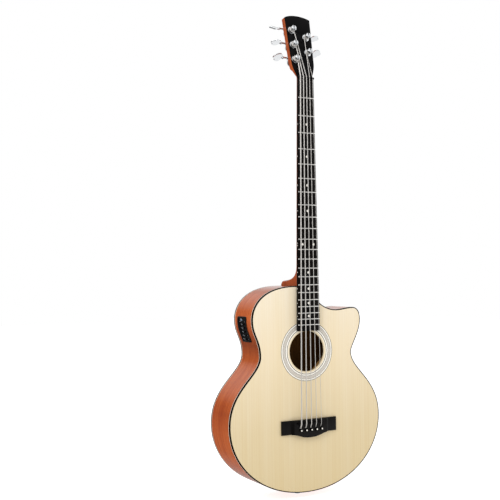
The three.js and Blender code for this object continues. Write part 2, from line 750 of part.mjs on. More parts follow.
// Blocks: the neck block takes the tenon, the tail block takes the jack
{
  const near = BODY_TOP - RIB_THICKNESS - GLUE_LINE;
  const clearOfRibs = inset(RIB_THICKNESS + GLUE_LINE);
  const block = leaning(
    common(
      box(
        -NECK_BLOCK_REACH, CUTAWAY_WALL,
        -BODY_DEPTH_NECK - OVERRUN, -BACK_THICKNESS - GLUE_LINE,
        near - NECK_BLOCK_LENGTH, near + OVERRUN,
      ),
      plate(new THREE.Shape(clearOfRibs), -BODY_DEPTH_TAIL - OVERRUN, OVERRUN),
    ),
  );
  const front = box(
    -NECK_BLOCK_REACH - OVERRUN, CUTAWAY_WALL + OVERRUN,
    -2 * OVERRUN, TOP_THICKNESS,
    near - NECK_BLOCK_LENGTH - OVERRUN, near + OVERRUN,
  );
  const mortise = box(
    -TENON_WIDTH / 2 - GLUE_LINE, TENON_WIDTH / 2 + GLUE_LINE,
    -OVERRUN, BINDING_HEIGHT + TENON_DEPTH + 2 * GLUE_LINE,
    BODY_TOP - TENON_LENGTH - GLUE_LINE, near + OVERRUN,
  );
  const rodHole = box(
    -ROD_DIAMETER / 2 - GLUE_LINE, ROD_DIAMETER / 2 + GLUE_LINE,
    -OVERRUN, ROD_DEPTH + ROD_DIAMETER / 2 + GLUE_LINE,
    near - NECK_BLOCK_LENGTH - OVERRUN, near,
  );
  add("neck_block", cut(block, front, mortise, rodHole), PLAIN_WOOD);

  const shape = new THREE.Shape(
    clearOfRibs.filter(
      (point) => Math.abs(point.x) < TAIL_BLOCK_WIDTH / 2 && point.y < -BRIDGE_STATION,
    ),
  );
  const inside = clearOfRibs[TAIL_INDEX].y + TAIL_BLOCK_THICKNESS;
  shape.lineTo(TAIL_BLOCK_WIDTH / 2, inside).lineTo(-TAIL_BLOCK_WIDTH / 2, inside);
  const margin = LINING_HEIGHT + GLUE_LINE;
  const tail = plate(
    shape, TOP_THICKNESS + margin, depthAt(inside) - BACK_THICKNESS - GLUE_LINE - margin,
  );
  const jackHole = rod(
    JACK_BARREL_DIAMETER + 2 * GLUE_LINE, BODY_TAIL - OVERRUN, inside + OVERRUN,
  ).translate(0, depthAt(BODY_TAIL) / 2, 0);
  add("tail_block", cut(tail, jackHole), PLAIN_WOOD);
}

// The room between the linings, where the braces run
const LINING_CLEARANCE = RIB_THICKNESS + LINING_WIDTH + 3 * GLUE_LINE;
const insideLinings = plate(
  new THREE.Shape(inset(LINING_CLEARANCE)), -OVERRUN, BODY_DEPTH_TAIL + OVERRUN,
);

// How far that room reaches to the nearer side at one height.
function roomAt(z) {
  const loop = inset(LINING_CLEARANCE);
  const crossings = loop.flatMap((point, i) => {
    const next = loop[(i + 1) % loop.length];
    if ((point.y - z) * (next.y - z) > 0) return [];
    const share = (z - point.y) / (next.y - point.y);
    return [Math.abs(THREE.MathUtils.lerp(point.x, next.x, share))];
  });
  return Math.min(...crossings);
}

// Braces under the soundboard
{
  const brace = (from, to) => {
    const reach = Math.SQRT2;
    const side = new THREE.Shape([
      new THREE.Vector2(-from * reach, 0),
      new THREE.Vector2(-from * reach, BRACE_END_HEIGHT),
      new THREE.Vector2(-from * reach * 0.5, BRACE_HEIGHT),
      new THREE.Vector2(to * reach * 0.4, BRACE_HEIGHT),
      new THREE.Vector2(to * reach, BRACE_END_HEIGHT),
      new THREE.Vector2(to * reach, 0),
    ]);
    return new THREE.ExtrudeGeometry(side, { depth: BRACE_WIDTH, bevelEnabled: false }).translate(
      0, 0, -BRACE_WIDTH / 2,
    );
  };
  const down = brace(X_BRACE_UPPER_REACH, X_BRACE_LOWER_REACH).rotateY(Math.PI / 4);
  const up = brace(X_BRACE_UPPER_REACH, X_BRACE_LOWER_REACH).rotateY((Math.PI * 3) / 4);
  const crossing = -SOUND_HOLE_STATION - X_BRACE_BELOW_HOLE;
  const cross = joined(down, up).translate(0, TOP_THICKNESS, crossing);
  add("x_brace", common(cross, insideLinings), PLAIN_WOOD);

  const half = UPPER_BRACE_LENGTH / 2;
  const notch = ROD_NOTCH_WIDTH / 2;
  const profile = new THREE.Shape([
    new THREE.Vector2(-half, 0),
    new THREE.Vector2(-notch, 0),
    new THREE.Vector2(-notch, ROD_NOTCH_DEPTH),
    new THREE.Vector2(notch, ROD_NOTCH_DEPTH),
    new THREE.Vector2(notch, 0),
    new THREE.Vector2(half, 0),
    new THREE.Vector2(half, BRACE_END_HEIGHT),
    new THREE.Vector2(half * 0.75, UPPER_BRACE_HEIGHT),
    new THREE.Vector2(-half * 0.75, UPPER_BRACE_HEIGHT),
    new THREE.Vector2(-half, BRACE_END_HEIGHT),
  ]);
  const low = BODY_TOP - CUTAWAY_DROP - UPPER_BRACE_BELOW_CUTAWAY - UPPER_BRACE_WIDTH / 2;
  add(
    "upper_brace",
    common(
      bar(profile, low, low + UPPER_BRACE_WIDTH).translate(0, TOP_THICKNESS, 0),
      insideLinings,
    ),
    PLAIN_WOOD,
  );

  const top = -BRIDGE_STATION + BRIDGE_PLATE_RISE;
  const patch = new THREE.Shape([
    new THREE.Vector2(-BRIDGE_PLATE_WIDTH / 2, top - BRIDGE_PLATE_HEIGHT),
    new THREE.Vector2(BRIDGE_PLATE_WIDTH / 2, top - BRIDGE_PLATE_HEIGHT),
    new THREE.Vector2(BRIDGE_PLATE_WIDTH / 2, top),
    new THREE.Vector2(-BRIDGE_PLATE_WIDTH / 2, top),
  ]);
  patch.holes.push(...strings.map(keyhole));
  add(
    "bridge_plate",
    plate(patch, TOP_THICKNESS, TOP_THICKNESS + BRIDGE_PLATE_THICKNESS),
    PLAIN_WOOD,
  );
}

// Ladder braces across the back
const backBraces = [
  ["upper", BODY_TOP - CUTAWAY_DROP - BACK_BRACE_BELOW_CUTAWAY],
  ["middle", BODY_TAIL + WAIST_HEIGHT - BACK_BRACE_BELOW_WAIST],
  ["lower", BODY_TAIL + BACK_BRACE_ABOVE_TAIL],
];
for (const [place, middle] of backBraces) {
  const half = roomAt(middle) - BACK_BRACE_END_CLEARANCE;
  const seat = -BACK_THICKNESS - GLUE_LINE;
  const profile = new THREE.Shape([
    new THREE.Vector2(-half, seat),
    new THREE.Vector2(-half, seat - BRACE_END_HEIGHT),
    new THREE.Vector2(-half * 0.8, seat - BACK_BRACE_HEIGHT),
    new THREE.Vector2(half * 0.8, seat - BACK_BRACE_HEIGHT),
    new THREE.Vector2(half, seat - BRACE_END_HEIGHT),
    new THREE.Vector2(half, seat),
  ]);
  const low = middle - BACK_BRACE_WIDTH / 2;
  const brace = leaning(bar(profile, low, low + BACK_BRACE_WIDTH));
  add(`back_brace_${place}`, common(brace, insideLinings), PLAIN_WOOD);
}

// Headstock's own frame: x across, y up its face, z out of its face
const headstock = new THREE.Group();
headstock.rotation.x = Math.PI / 2 - HEADSTOCK_TILT;
headstock.position.set(0, -HEADSTOCK_FACE, NUT_LENGTH);
headstock.updateMatrix();
instrument.add(headstock);

const posts = strings.map(({ number }) => {
  const bass = number <= 3;
  return {
    number,
    keyTurn: KEY_TURNS[number - 1],
    side: bass ? -1 : 1,
    x: bass ? -BASS_POST_ROW : TREBLE_POST_ROW,
    y: bass
      ? BASS_POST_START + (number - 1) * BASS_POST_PITCH
      : TREBLE_POST_START + (strings.length - number) * TREBLE_POST_PITCH,
  };
});

// The headstock's face outline, with a hole of one diameter at each post.
function headstockShape(foot, holeDiameter) {
  const shoulder = HEADSTOCK_SHOULDER_WIDTH / 2;
  const top = HEADSTOCK_TOP_WIDTH / 2;
  const nut = NUT_WIDTH / 2;
  const flare = shoulder - nut;
  const crown = HEADSTOCK_LENGTH + HEADSTOCK_CROWN;
  const shape = new THREE.Shape();
  shape.moveTo(-nut, foot);
  shape.lineTo(nut, foot);
  shape.lineTo(nut, 0);
  shape.bezierCurveTo(
    nut + flare * 0.3, HEADSTOCK_SHOULDER * 0.3,
    shoulder - flare * 0.05, HEADSTOCK_SHOULDER * 0.6,
    shoulder, HEADSTOCK_SHOULDER,
  );
  shape.lineTo(top, HEADSTOCK_LENGTH);
  shape.bezierCurveTo(
    top * 0.4, crown,
    -top * 0.55, crown,
    -top, HEADSTOCK_LENGTH - HEADSTOCK_CORNER_DROP,
  );
  shape.lineTo(-shoulder, HEADSTOCK_SHOULDER);
  shape.bezierCurveTo(
    -shoulder + flare * 0.05, HEADSTOCK_SHOULDER * 0.6,
    -nut - flare * 0.3, HEADSTOCK_SHOULDER * 0.3,
    -nut, 0,
  );
  for (const post of posts) {
    shape.holes.push(circle(post.x, post.y, holeDiameter / 2));
  }
  return shape;
}

const sleeveDiameter = POST_DIAMETER + 2 * (POST_CLEARANCE + SLEEVE_WALL);

// Headstock veneer: a black sheet on the headstock's face
add(
  "headstock_veneer",
  new THREE.ExtrudeGeometry(headstockShape(GLUE_LINE, POST_DIAMETER + 2 * POST_CLEARANCE), {
    depth: VENEER_THICKNESS,
    bevelEnabled: false,
    curveSegments: 6,
  }).translate(0, 0, -VENEER_THICKNESS),
  BLACK_PLASTIC,
  headstock,
);

// Neck: shaft, heel, tenon, tongue and headstock of one mahogany blank
{
  // Half a rounded section, as [across, deep] pairs. It grows square as its power falls to zero.
  const halfSection = (halfWidth, depth, power) =>
    Array.from({ length: NECK_FACETS + 1 }, (_, i) => {
      const angle = (Math.PI * i) / NECK_FACETS;
      const cosine = Math.cos(angle);
      return [
        -halfWidth * Math.sign(cosine) * Math.abs(cosine) ** power,
        depth * Math.sin(angle) ** power,
      ];
    });
  const neckRing = (z, top, halfWidth, depth) =>
    halfSection(halfWidth, depth, NECK_BACK_POWER).map(
      ([across, deep]) => new THREE.Vector3(across, top + deep, z));
  const shaftDepth = (z) =>
    THREE.MathUtils.mapLinear(-z, 0, NUT_TO_BODY, NECK_DEPTH_NUT, NECK_DEPTH_BODY);
  const top = -BOARD_UNDERSIDE;
  const rise = Math.tan(HEADSTOCK_TILT);
  const shaft = loft([
    neckRing(BODY_TOP, top, boardHalfWidth(BODY_TOP), NECK_DEPTH_BODY),
    neckRing(BODY_TOP / 2, top, boardHalfWidth(BODY_TOP / 2), shaftDepth(BODY_TOP / 2)),
    neckRing(0, top, NUT_WIDTH / 2, NECK_DEPTH_NUT),
    neckRing(NUT_LENGTH, top, NUT_WIDTH / 2, NECK_DEPTH_NUT * 0.98),
    neckRing(
      VOLUTE_LENGTH * 0.6, top + VOLUTE_LENGTH * 0.6 * rise, NUT_WIDTH * 0.48,
      NECK_DEPTH_NUT * 0.93 - VOLUTE_LENGTH * 0.5 * rise,
    ),
    neckRing(
      VOLUTE_LENGTH, top + VOLUTE_LENGTH * rise, NUT_WIDTH * 0.4,
      HEADSTOCK_THICKNESS * 0.8,
    ),
  ]);

  const heelCurve = new THREE.CubicBezierCurve(
    new THREE.Vector2(NECK_DEPTH_BODY - BOARD_UNDERSIDE * 2, BODY_TOP + HEEL_ROOT_ABOVE_BODY),
    new THREE.Vector2(NECK_DEPTH_BODY - BOARD_UNDERSIDE * 2, BODY_TOP + HEEL_HOLLOW_ABOVE_BODY),
    new THREE.Vector2(HEEL_HOLLOW_DEPTH, BODY_TOP + HEEL_UNDERSIDE_ABOVE_BODY),
    new THREE.Vector2(HEEL_DEPTH, BODY_TOP + HEEL_CAP_HEIGHT),
  );
  const heelRing = (depth, tip, halfWidth) => {
    const side = tip - HEEL_NOSE;
    const ring = [new THREE.Vector3(-halfWidth, depth, BODY_TOP)];
    for (let i = 0; i <= NECK_FACETS / 2; i += 1) {
      const angle = (Math.PI * i) / (NECK_FACETS / 2);
      ring.push(
        new THREE.Vector3(
          -halfWidth * Math.cos(angle), depth, side + HEEL_NOSE * Math.sin(angle) ** 0.7,
        ),
      );
    }
    ring.push(new THREE.Vector3(halfWidth, depth, BODY_TOP));
    return ring;
  };
  const heelHalfWidth = (depth) =>
    THREE.MathUtils.clamp(
      THREE.MathUtils.mapLinear(depth, 0, NECK_DEPTH_BODY * 1.2, HEEL_ROOT_WIDTH, HEEL_WIDTH),
      HEEL_WIDTH, HEEL_ROOT_WIDTH,
    ) / 2;
  const heelRings = [heelRing(0, BODY_TOP + HEEL_ROOT_ABOVE_BODY, heelHalfWidth(0))];
  for (let i = 1; i <= 8; i += 1) {
    const point = heelCurve.getPoint(i / 8);
    const inCorner = Math.max(0, point.x - (HEEL_DEPTH - HEEL_CORNER));
    const drop = HEEL_CORNER - Math.sqrt(HEEL_CORNER ** 2 - inCorner ** 2);
    heelRings.push(heelRing(point.x, point.y - drop, heelHalfWidth(point.x)));
  }
  const heel = loft(heelRings);

  const tenon = box(
    -TENON_WIDTH / 2, TENON_WIDTH / 2,
    BINDING_HEIGHT + GLUE_LINE, BINDING_HEIGHT + GLUE_LINE + TENON_DEPTH,
    BODY_TOP - TENON_LENGTH, BODY_TOP + OVERRUN,
  );
  const tongueHalf = boardHalfWidth(BODY_TOP) - TONGUE_INSET;
  const tongue = box(
    -tongueHalf, tongueHalf, -BOARD_UNDERSIDE, 0, BODY_TOP - TONGUE_LENGTH, BODY_TOP + OVERRUN,
  );
  const rodSlot = box(
    -ROD_DIAMETER / 2 - GLUE_LINE, ROD_DIAMETER / 2 + GLUE_LINE,
    -BOARD_UNDERSIDE - OVERRUN, ROD_DEPTH + ROD_DIAMETER / 2 + GLUE_LINE,
    BODY_TOP - TENON_LENGTH - OVERRUN, -ROD_START + GLUE_LINE,
  );
  const blank = new THREE.ExtrudeGeometry(
    headstockShape(0, sleeveDiameter + 2 * GLUE_LINE),
    {
      depth: HEADSTOCK_THICKNESS - VENEER_THICKNESS - GLUE_LINE,
      bevelEnabled: false,
      curveSegments: 6,
    },
  )
    .translate(0, 0, -HEADSTOCK_THICKNESS);
  // The headstock's foot is carved from its square section to the neck's round one.
  const carving = loft(
    [[0, NECK_BACK_POWER, 0], [0.25, 0.8, 0], [0.5, 0.45, 0], [0.8, 0.2, 1], [5, 0.1, 2]].map(
      ([riseShare, power, clear]) => {
        const halfWidth = THREE.MathUtils.lerp(
          NUT_WIDTH / 2, HEADSTOCK_SHOULDER_WIDTH / 2, Math.min(riseShare * 1.2, 1),
        );
        const high = riseShare * HEADSTOCK_SHOULDER;
        return halfSection(
          halfWidth + clear * OVERRUN, HEADSTOCK_THICKNESS * 1.15 + clear * OVERRUN, power,
        ).map(([across, deep]) => new THREE.Vector3(across, high, -deep));
      },
    ),
  );
  const head = common(blank, carving).applyMatrix4(headstock.matrix);
  // The nut's seat is square, and no wood stands in front of the veneer or of the seat.
  const nutSeat = box(
    -NUT_WIDTH, NUT_WIDTH,
    -BOARD_UNDERSIDE - NUT_WIDTH, -BOARD_UNDERSIDE,
    -NUT_WIDTH, NUT_LENGTH + GLUE_LINE,
  );
  const face = new THREE.BoxGeometry(NUT_WIDTH * 2, NUT_WIDTH, NUT_WIDTH)
    .translate(0, NUT_WIDTH / 2 + GLUE_LINE, NUT_WIDTH / 2 - VENEER_THICKNESS - GLUE_LINE)
    .applyMatrix4(headstock.matrix);
  const buttonHole = rod(
    BUTTON_SCREW_DIAMETER + 2 * GLUE_LINE, -BUTTON_SCREW_LENGTH - GLUE_LINE, OVERRUN,
  )
    .rotateY(Math.PI / 2)
    .translate(HEEL_WIDTH / 2, HEEL_DEPTH * BUTTON_DEPTH_SHARE, BODY_TOP + BUTTON_RISE);
  const carved = cut(joined(shaft, heel, tenon, head), rodSlot, nutSeat, face, buttonHole);
  add("neck", joined(carved, tongue), MAHOGANY);
}

// Fretboard: a tapered black board with its frets pressed in
{
  const board = new THREE.Shape([
    new THREE.Vector2(-NUT_WIDTH / 2, 0),
    new THREE.Vector2(-BOARD_END_WIDTH / 2, -BOARD_LENGTH),
    new THREE.Vector2(BOARD_END_WIDTH / 2, -BOARD_LENGTH),
    new THREE.Vector2(NUT_WIDTH / 2, 0),
  ]);
  const pieces = [plate(board, BOARD_TOP, -BOARD_UNDERSIDE)];
  for (let fret = 1; fret <= FRET_COUNT; fret += 1) {
    const station = -fretStation(fret);
    const half = boardHalfWidth(station) - FRET_END_INSET;
    const crown = new THREE.Shape([
      new THREE.Vector2(-FRET_WIDTH / 2, -FRET_HEIGHT),
      new THREE.Vector2(FRET_WIDTH / 2, -FRET_HEIGHT),
      new THREE.Vector2(FRET_WIDTH / 2, FRET_HEIGHT * 0.4),
      new THREE.Vector2(FRET_WIDTH * 0.2, FRET_HEIGHT),
      new THREE.Vector2(-FRET_WIDTH * 0.2, FRET_HEIGHT),
      new THREE.Vector2(-FRET_WIDTH / 2, FRET_HEIGHT * 0.4),
    ]);
    const wire = new THREE.ExtrudeGeometry(crown, { depth: half * 2, bevelEnabled: false })
      .translate(0, 0, -half)
      .rotateY(Math.PI / 2)
      .rotateX(Math.PI / 2);
    pieces.push(wire.translate(0, BOARD_TOP, station));
  }
  add("fretboard", joined(...pieces), BLACK_WOOD);
}

// Where each string's centre lies at the nut and on the saddle
const nutStringY = (diameter) => BOARD_TOP - STRING_ABOVE_BOARD - diameter / 2;
const saddleStringY = (diameter) => -SADDLE_TOP - STRING_CLEARANCE - diameter / 2;

// Nut: a slotted black block at the end of the fretboard
{
  const top = BOARD_TOP - NUT_ABOVE_BOARD;
  const half = NUT_WIDTH / 2;
  const profile = new THREE.Shape();
  profile.moveTo(-half, -BOARD_UNDERSIDE);
  profile.lineTo(-half, top);
  for (const { nutX, diameter } of strings) {
    const side = diameter / 2 + STRING_CLEARANCE;
    const floor = nutStringY(diameter) + diameter / 2 + STRING_CLEARANCE;
    profile.lineTo(nutX - side, top);
    profile.lineTo(nutX - side, floor);
    profile.lineTo(nutX + side, floor);
    profile.lineTo(nutX + side, top);
  }
  profile.lineTo(half, top);
  profile.lineTo(half, -BOARD_UNDERSIDE);
  add("nut", bar(profile, 0, NUT_LENGTH), BLACK_PLASTIC);
}

// Truss rod: a steel rod under the fretboard, tightened by a socket nut inside the sound box
{
  const threadEnd = BODY_TOP - ROD_INTO_BODY;
  add(
    "truss_rod",
    rod(ROD_DIAMETER, threadEnd, -ROD_START).translate(0, ROD_DEPTH, 0),
    ROD_STEEL,
  );
  const near = threadEnd + ROD_THREAD_LENGTH;
  const bore = ROD_DIAMETER / 2 + GLUE_LINE;
  const sleeve = turned([
    [0, near - ROD_NUT_LENGTH],
    [ROD_NUT_DIAMETER / 2, near - ROD_NUT_LENGTH],
    [ROD_NUT_DIAMETER / 2, near],
    [bore, near],
    [bore, near - ROD_THREAD_LENGTH - GLUE_LINE],
    [0, near - ROD_THREAD_LENGTH - GLUE_LINE],
  ]);
  const socket = rod(
    ROD_KEY_SIZE, near - ROD_NUT_LENGTH - OVERRUN, near - ROD_NUT_LENGTH + ROD_KEY_DEPTH, 6,
  );
  add("truss_rod_nut", cut(sleeve, socket).translate(0, ROD_DEPTH, 0), ROD_STEEL);
}

// Bridge: a black belly bridge with thin wings, a saddle slot and notched pin holes
{
  const half = BRIDGE_LENGTH / 2;
  const middle = BRIDGE_OFFSET;
  const top = -BRIDGE_STATION;
  const foot = top - BRIDGE_HEIGHT;
  const belly = BRIDGE_BELLY_WIDTH / 2;
  const outlineShape = new THREE.Shape();
  outlineShape.moveTo(middle - half, top);
  outlineShape.lineTo(middle - half, foot);
  outlineShape.lineTo(middle - belly, foot);
  outlineShape.bezierCurveTo(
    middle - belly * 0.6, foot, middle - belly * 0.55, foot - BRIDGE_BELLY,
    middle, foot - BRIDGE_BELLY,
  );
  outlineShape.bezierCurveTo(
    middle + belly * 0.55, foot - BRIDGE_BELLY, middle + belly * 0.6, foot,
    middle + belly, foot,
  );
  outlineShape.lineTo(middle + half, foot);
  outlineShape.lineTo(middle + half, top);
  outlineShape.holes.push(...strings.map(keyhole));
  const block = BRIDGE_BLOCK_WIDTH / 2;
  const profile = new THREE.Shape([
    new THREE.Vector2(middle - half - OVERRUN, 0),
    new THREE.Vector2(middle - half - OVERRUN, -BRIDGE_WING_THICKNESS),
    new THREE.Vector2(middle - block - BRIDGE_RAMP, -BRIDGE_WING_THICKNESS),
    new THREE.Vector2(middle - block - BRIDGE_RAMP * 0.4, -BRIDGE_WING_THICKNESS * 1.3),
    new THREE.Vector2(middle - block, -BRIDGE_THICKNESS),
    new THREE.Vector2(middle + block, -BRIDGE_THICKNESS),
    new THREE.Vector2(middle + block + BRIDGE_RAMP * 0.4, -BRIDGE_WING_THICKNESS * 1.3),
    new THREE.Vector2(middle + block + BRIDGE_RAMP, -BRIDGE_WING_THICKNESS),
    new THREE.Vector2(middle + half + OVERRUN, -BRIDGE_WING_THICKNESS),
    new THREE.Vector2(middle + half + OVERRUN, 0),
  ]);
  const solid = solidFrom(plate(outlineShape, -BRIDGE_THICKNESS, 0, ROUND_FACETS * 2)).intersect(
    solidFrom(bar(profile, foot - BRIDGE_BELLY - OVERRUN, top + OVERRUN)),
  );
  const slot = box(
    -SADDLE_LENGTH / 2 - GLUE_LINE, SADDLE_LENGTH / 2 + GLUE_LINE,
    -BRIDGE_THICKNESS - OVERRUN, -BRIDGE_THICKNESS + SADDLE_SLOT_DEPTH,
    -SADDLE_STATION - SADDLE_WIDTH / 2 - GLUE_LINE, -SADDLE_STATION + SADDLE_WIDTH / 2 + GLUE_LINE,
  );
  add("bridge", geometryFrom(solid.subtract(solidFrom(slot))), BLACK_WOOD);
}

// Saddle: a black strip standing in the bridge's slot
{
  const half = SADDLE_WIDTH / 2;
  const low = -BRIDGE_THICKNESS + SADDLE_SLOT_DEPTH;
  const profile = new THREE.Shape([
    new THREE.Vector2(-half, low),
    new THREE.Vector2(-half, -SADDLE_TOP + half),
    new THREE.Vector2(-half * 0.5, -SADDLE_TOP),
    new THREE.Vector2(half * 0.5, -SADDLE_TOP),
    new THREE.Vector2(half, -SADDLE_TOP + half),
    new THREE.Vector2(half, low),
  ]);
  add(
    "saddle",
    new THREE.ExtrudeGeometry(profile, { depth: SADDLE_LENGTH, bevelEnabled: false })
      .translate(0, 0, -SADDLE_LENGTH / 2)
      .rotateY(-Math.PI / 2)
      .translate(0, 0, -SADDLE_STATION),
    BLACK_PLASTIC,
  );
}

// Bridge pins: black pegs that lock each string's ball end under the bridge plate
for (const { number, pinX } of strings) {
  const seat = BRIDGE_THICKNESS + GLUE_LINE;
  const head = PIN_HEAD_DIAMETER / 2;
  const shank = PIN_DIAMETER / 2;
  const profile = [
    [0, seat - PIN_LENGTH],
    [shank * 0.7, seat - PIN_LENGTH],
    [shank, seat - PIN_LENGTH * 0.6],
    [shank, seat],
    [head, seat],
    [head, seat + PIN_HEAD_HEIGHT * 0.35],
    [head * 0.75, seat + PIN_HEAD_HEIGHT * 0.8],
    [0, seat + PIN_HEAD_HEIGHT],
  ];
  add(
    `bridge_pin_${number}`,
    turned(profile).rotateX(Math.PI / 2).translate(pinX, 0, -PIN_STATION),
    PIN_BLACK,
  );
}

// A tube through stations, each with its own radius, carried without twist.
function sweep(stations, sides) {
  const direction = (i) => {
    const before = stations[Math.max(i - 1, 0)].at;
    const after = stations[Math.min(i + 1, stations.length - 1)].at;
    const here = stations[i].at;
    const into = here.clone().sub(before).normalize();
    const away = after.clone().sub(here).normalize();
    return into.add(away).normalize();
  };
  let across = new THREE.Vector3(1, 0, 0);
  const rings = stations.map(({ at, radius }, i) => {
    const along = direction(i);
    across = across.clone().addScaledVector(along, -across.dot(along)).normalize();
    const beside = new THREE.Vector3().crossVectors(along, across);
    return Array.from({ length: sides }, (_, k) => {
      const angle = (Math.PI * 2 * (k + 0.5)) / sides;
      return at
        .clone()
        .addScaledVector(across, Math.cos(angle) * radius)
        .addScaledVector(beside, Math.sin(angle) * radius);
    });
  });
  return loft(rings);
}

// Strings: wound on their posts, over the nut and the saddle, and down beside their pins
let leastWindingGap = Infinity;
for (const string of strings) {
  const { number, diameter, nutX, saddleX } = string;
  const post = posts[number - 1];
  const radius = diameter / 2;
  const windingRadius = POST_WAIST_DIAMETER / 2 + radius + STRING_CLEARANCE;
  const pitch = diameter + WINDING_GAP;
  const low = POST_WAIST_START + radius + STRING_CLEARANCE;
  const nutPoint = new THREE.Vector3(nutX, nutStringY(diameter), NUT_LENGTH);
  const nutLocal = nutPoint.clone().applyMatrix4(headstock.matrix.clone().invert());
  const toNut = new THREE.Vector2(nutLocal.x - post.x, nutLocal.y - post.y);
  const lead = Math.acos(windingRadius / toNut.length());
  const leaving = toNut.angle() - post.side * lead;
  const stations = [];
  const total = WINDING_TURNS * WINDING_STEPS;
  for (let i = total; i >= 0; i -= 1) {
    const angle = leaving - (post.side * Math.PI * 2 * i) / WINDING_STEPS;
    const local = new THREE.Vector3(
      post.x + Math.cos(angle) * windingRadius,
      post.y + Math.sin(angle) * windingRadius,
      low + (pitch * i) / WINDING_STEPS,
    );
    stations.push({ at: local.applyMatrix4(headstock.matrix), radius });
  }
  for (let i = 0; i + WINDING_STEPS <= total; i += 1) {
    const gap = stations[i].at.distanceTo(stations[i + WINDING_STEPS].at) - diameter;
    leastWindingGap = Math.min(leastWindingGap, gap);
  }
  const holeX = stringHoleX(string);
  const holeZ = -PIN_STATION + STRING_TO_PIN;
  const plateUnder = TOP_THICKNESS + BRIDGE_PLATE_THICKNESS;
  const ball = plateUnder + BALL_DROP;
  const overSaddle = saddleStringY(diameter);
  const rampX = THREE.MathUtils.lerp(saddleX, holeX, 0.8);
  stations.push(
    { at: nutPoint, radius },
    { at: new THREE.Vector3(nutX, nutStringY(diameter), 0), radius },
    { at: new THREE.Vector3(saddleX, overSaddle, -SADDLE_STATION + SADDLE_WIDTH / 2), radius },
    { at: new THREE.Vector3(saddleX, overSaddle, -SADDLE_STATION - SADDLE_WIDTH / 2), radius },
    { at: new THREE.Vector3(rampX, -BRIDGE_THICKNESS - diameter * 0.6, holeZ + diameter * 0.35), radius },
    { at: new THREE.Vector3(holeX, -BRIDGE_THICKNESS + diameter * 0.4, holeZ), radius },
    { at: new THREE.Vector3(holeX, ball, holeZ), radius },
    { at: new THREE.Vector3(holeX, ball + STRING_CLEARANCE, holeZ), radius: BALL_DIAMETER / 2 },
    { at: new THREE.Vector3(holeX, ball + BALL_LENGTH, holeZ), radius: BALL_DIAMETER / 2 },
  );
  add(`string_${number}`, sweep(stations, STRING_SIDES), STRING_STEEL);
}
console.log(`least gap between the turns on a post: ${leastWindingGap.toFixed(2)} mm`);

// Tuning machines
const wormCentre = WHEEL_PITCH_RADIUS + WORM_PITCH_RADIUS;
const toothPitch = (Math.PI * 2 * WHEEL_PITCH_RADIUS) / WHEEL_TEETH;
const wormTip = WORM_PITCH_RADIUS + TOOTH_ADDENDUM;
const wormRoot = WORM_PITCH_RADIUS - TOOTH_DEDENDUM;
const backFace = -HEADSTOCK_THICKNESS - GLUE_LINE;
const plateBack = backFace - PLATE_THICKNESS;
const wheelTip = WHEEL_PITCH_RADIUS + TOOTH_ADDENDUM;
const wheelRoot = WHEEL_PITCH_RADIUS - TOOTH_DEDENDUM;

// The plate's ears stand clear of the worm's thread and of the wheel's teeth.
const earReach =
  POST_CLEARANCE +
  Math.max(
    toothPitch * (WORM_TURNS / 2 + 1 / 3),
    Math.sqrt((wheelTip + POST_CLEARANCE) ** 2 - (wormCentre - EAR_WIDTH / 2) ** 2),
  );

// A wheel whose helical teeth follow the worm's thread.
function wormWheel() {
  const corners = [
    [wheelRoot, -0.29],
    [wheelTip, -0.13],
    [wheelTip, 0.13],
    [wheelRoot, 0.29],
  ];
  const twist = toothPitch / (Math.PI * 2 * WORM_PITCH_RADIUS) / WHEEL_PITCH_RADIUS;
  const ring = (height) =>
    Array.from({ length: WHEEL_TEETH }, (_, tooth) =>
      corners.map(([radius, share]) => {
        const angle = Math.PI / 2 + (Math.PI * 2 * (tooth + share)) / WHEEL_TEETH + twist * height;
        return new THREE.Vector3(Math.cos(angle) * radius, Math.sin(angle) * radius, height);
      }),
    ).flat();
  const low = ring(-WHEEL_THICKNESS / 2);
  const high = ring(WHEEL_THICKNESS / 2);
  const count = low.length;
  const faces = THREE.ShapeUtils.triangulateShape(
    high.map((corner) => new THREE.Vector2(corner.x, corner.y)), [],
  );
  const triangles = faces.map(([a, b, c]) => [a + count, b + count, c + count]);
  triangles.push(...faces.map(([a, b, c]) => [a, c, b]));
  for (let k = 0; k < count; k += 1) {
    const next = (k + 1) % count;
    triangles.push([k, next, next + count], [k, next + count, k + count]);
  }
  return facedOut([...low, ...high], triangles);
}

// The worm's thread: a helix about x that lies between two teeth where it meets the wheel.
function wormThread() {
  const rings = [];
  const steps = WORM_TURNS * WORM_STEPS;
  for (let i = 0; i <= steps; i += 1) {
    const angle = Math.PI * 2 * (i / WORM_STEPS - WORM_TURNS / 2);
    const along = (toothPitch * angle) / (Math.PI * 2);
    const corner = (radius, share) =>
      new THREE.Vector3(along + share * toothPitch, Math.cos(angle) * radius, Math.sin(angle) * radius);
    const sunk = wormRoot - POST_CLEARANCE;
    rings.push([corner(sunk, -0.24), corner(wormTip, -0.1), corner(wormTip, 0.1), corner(sunk, 0.24)]);
  }
  return loft(rings);
}

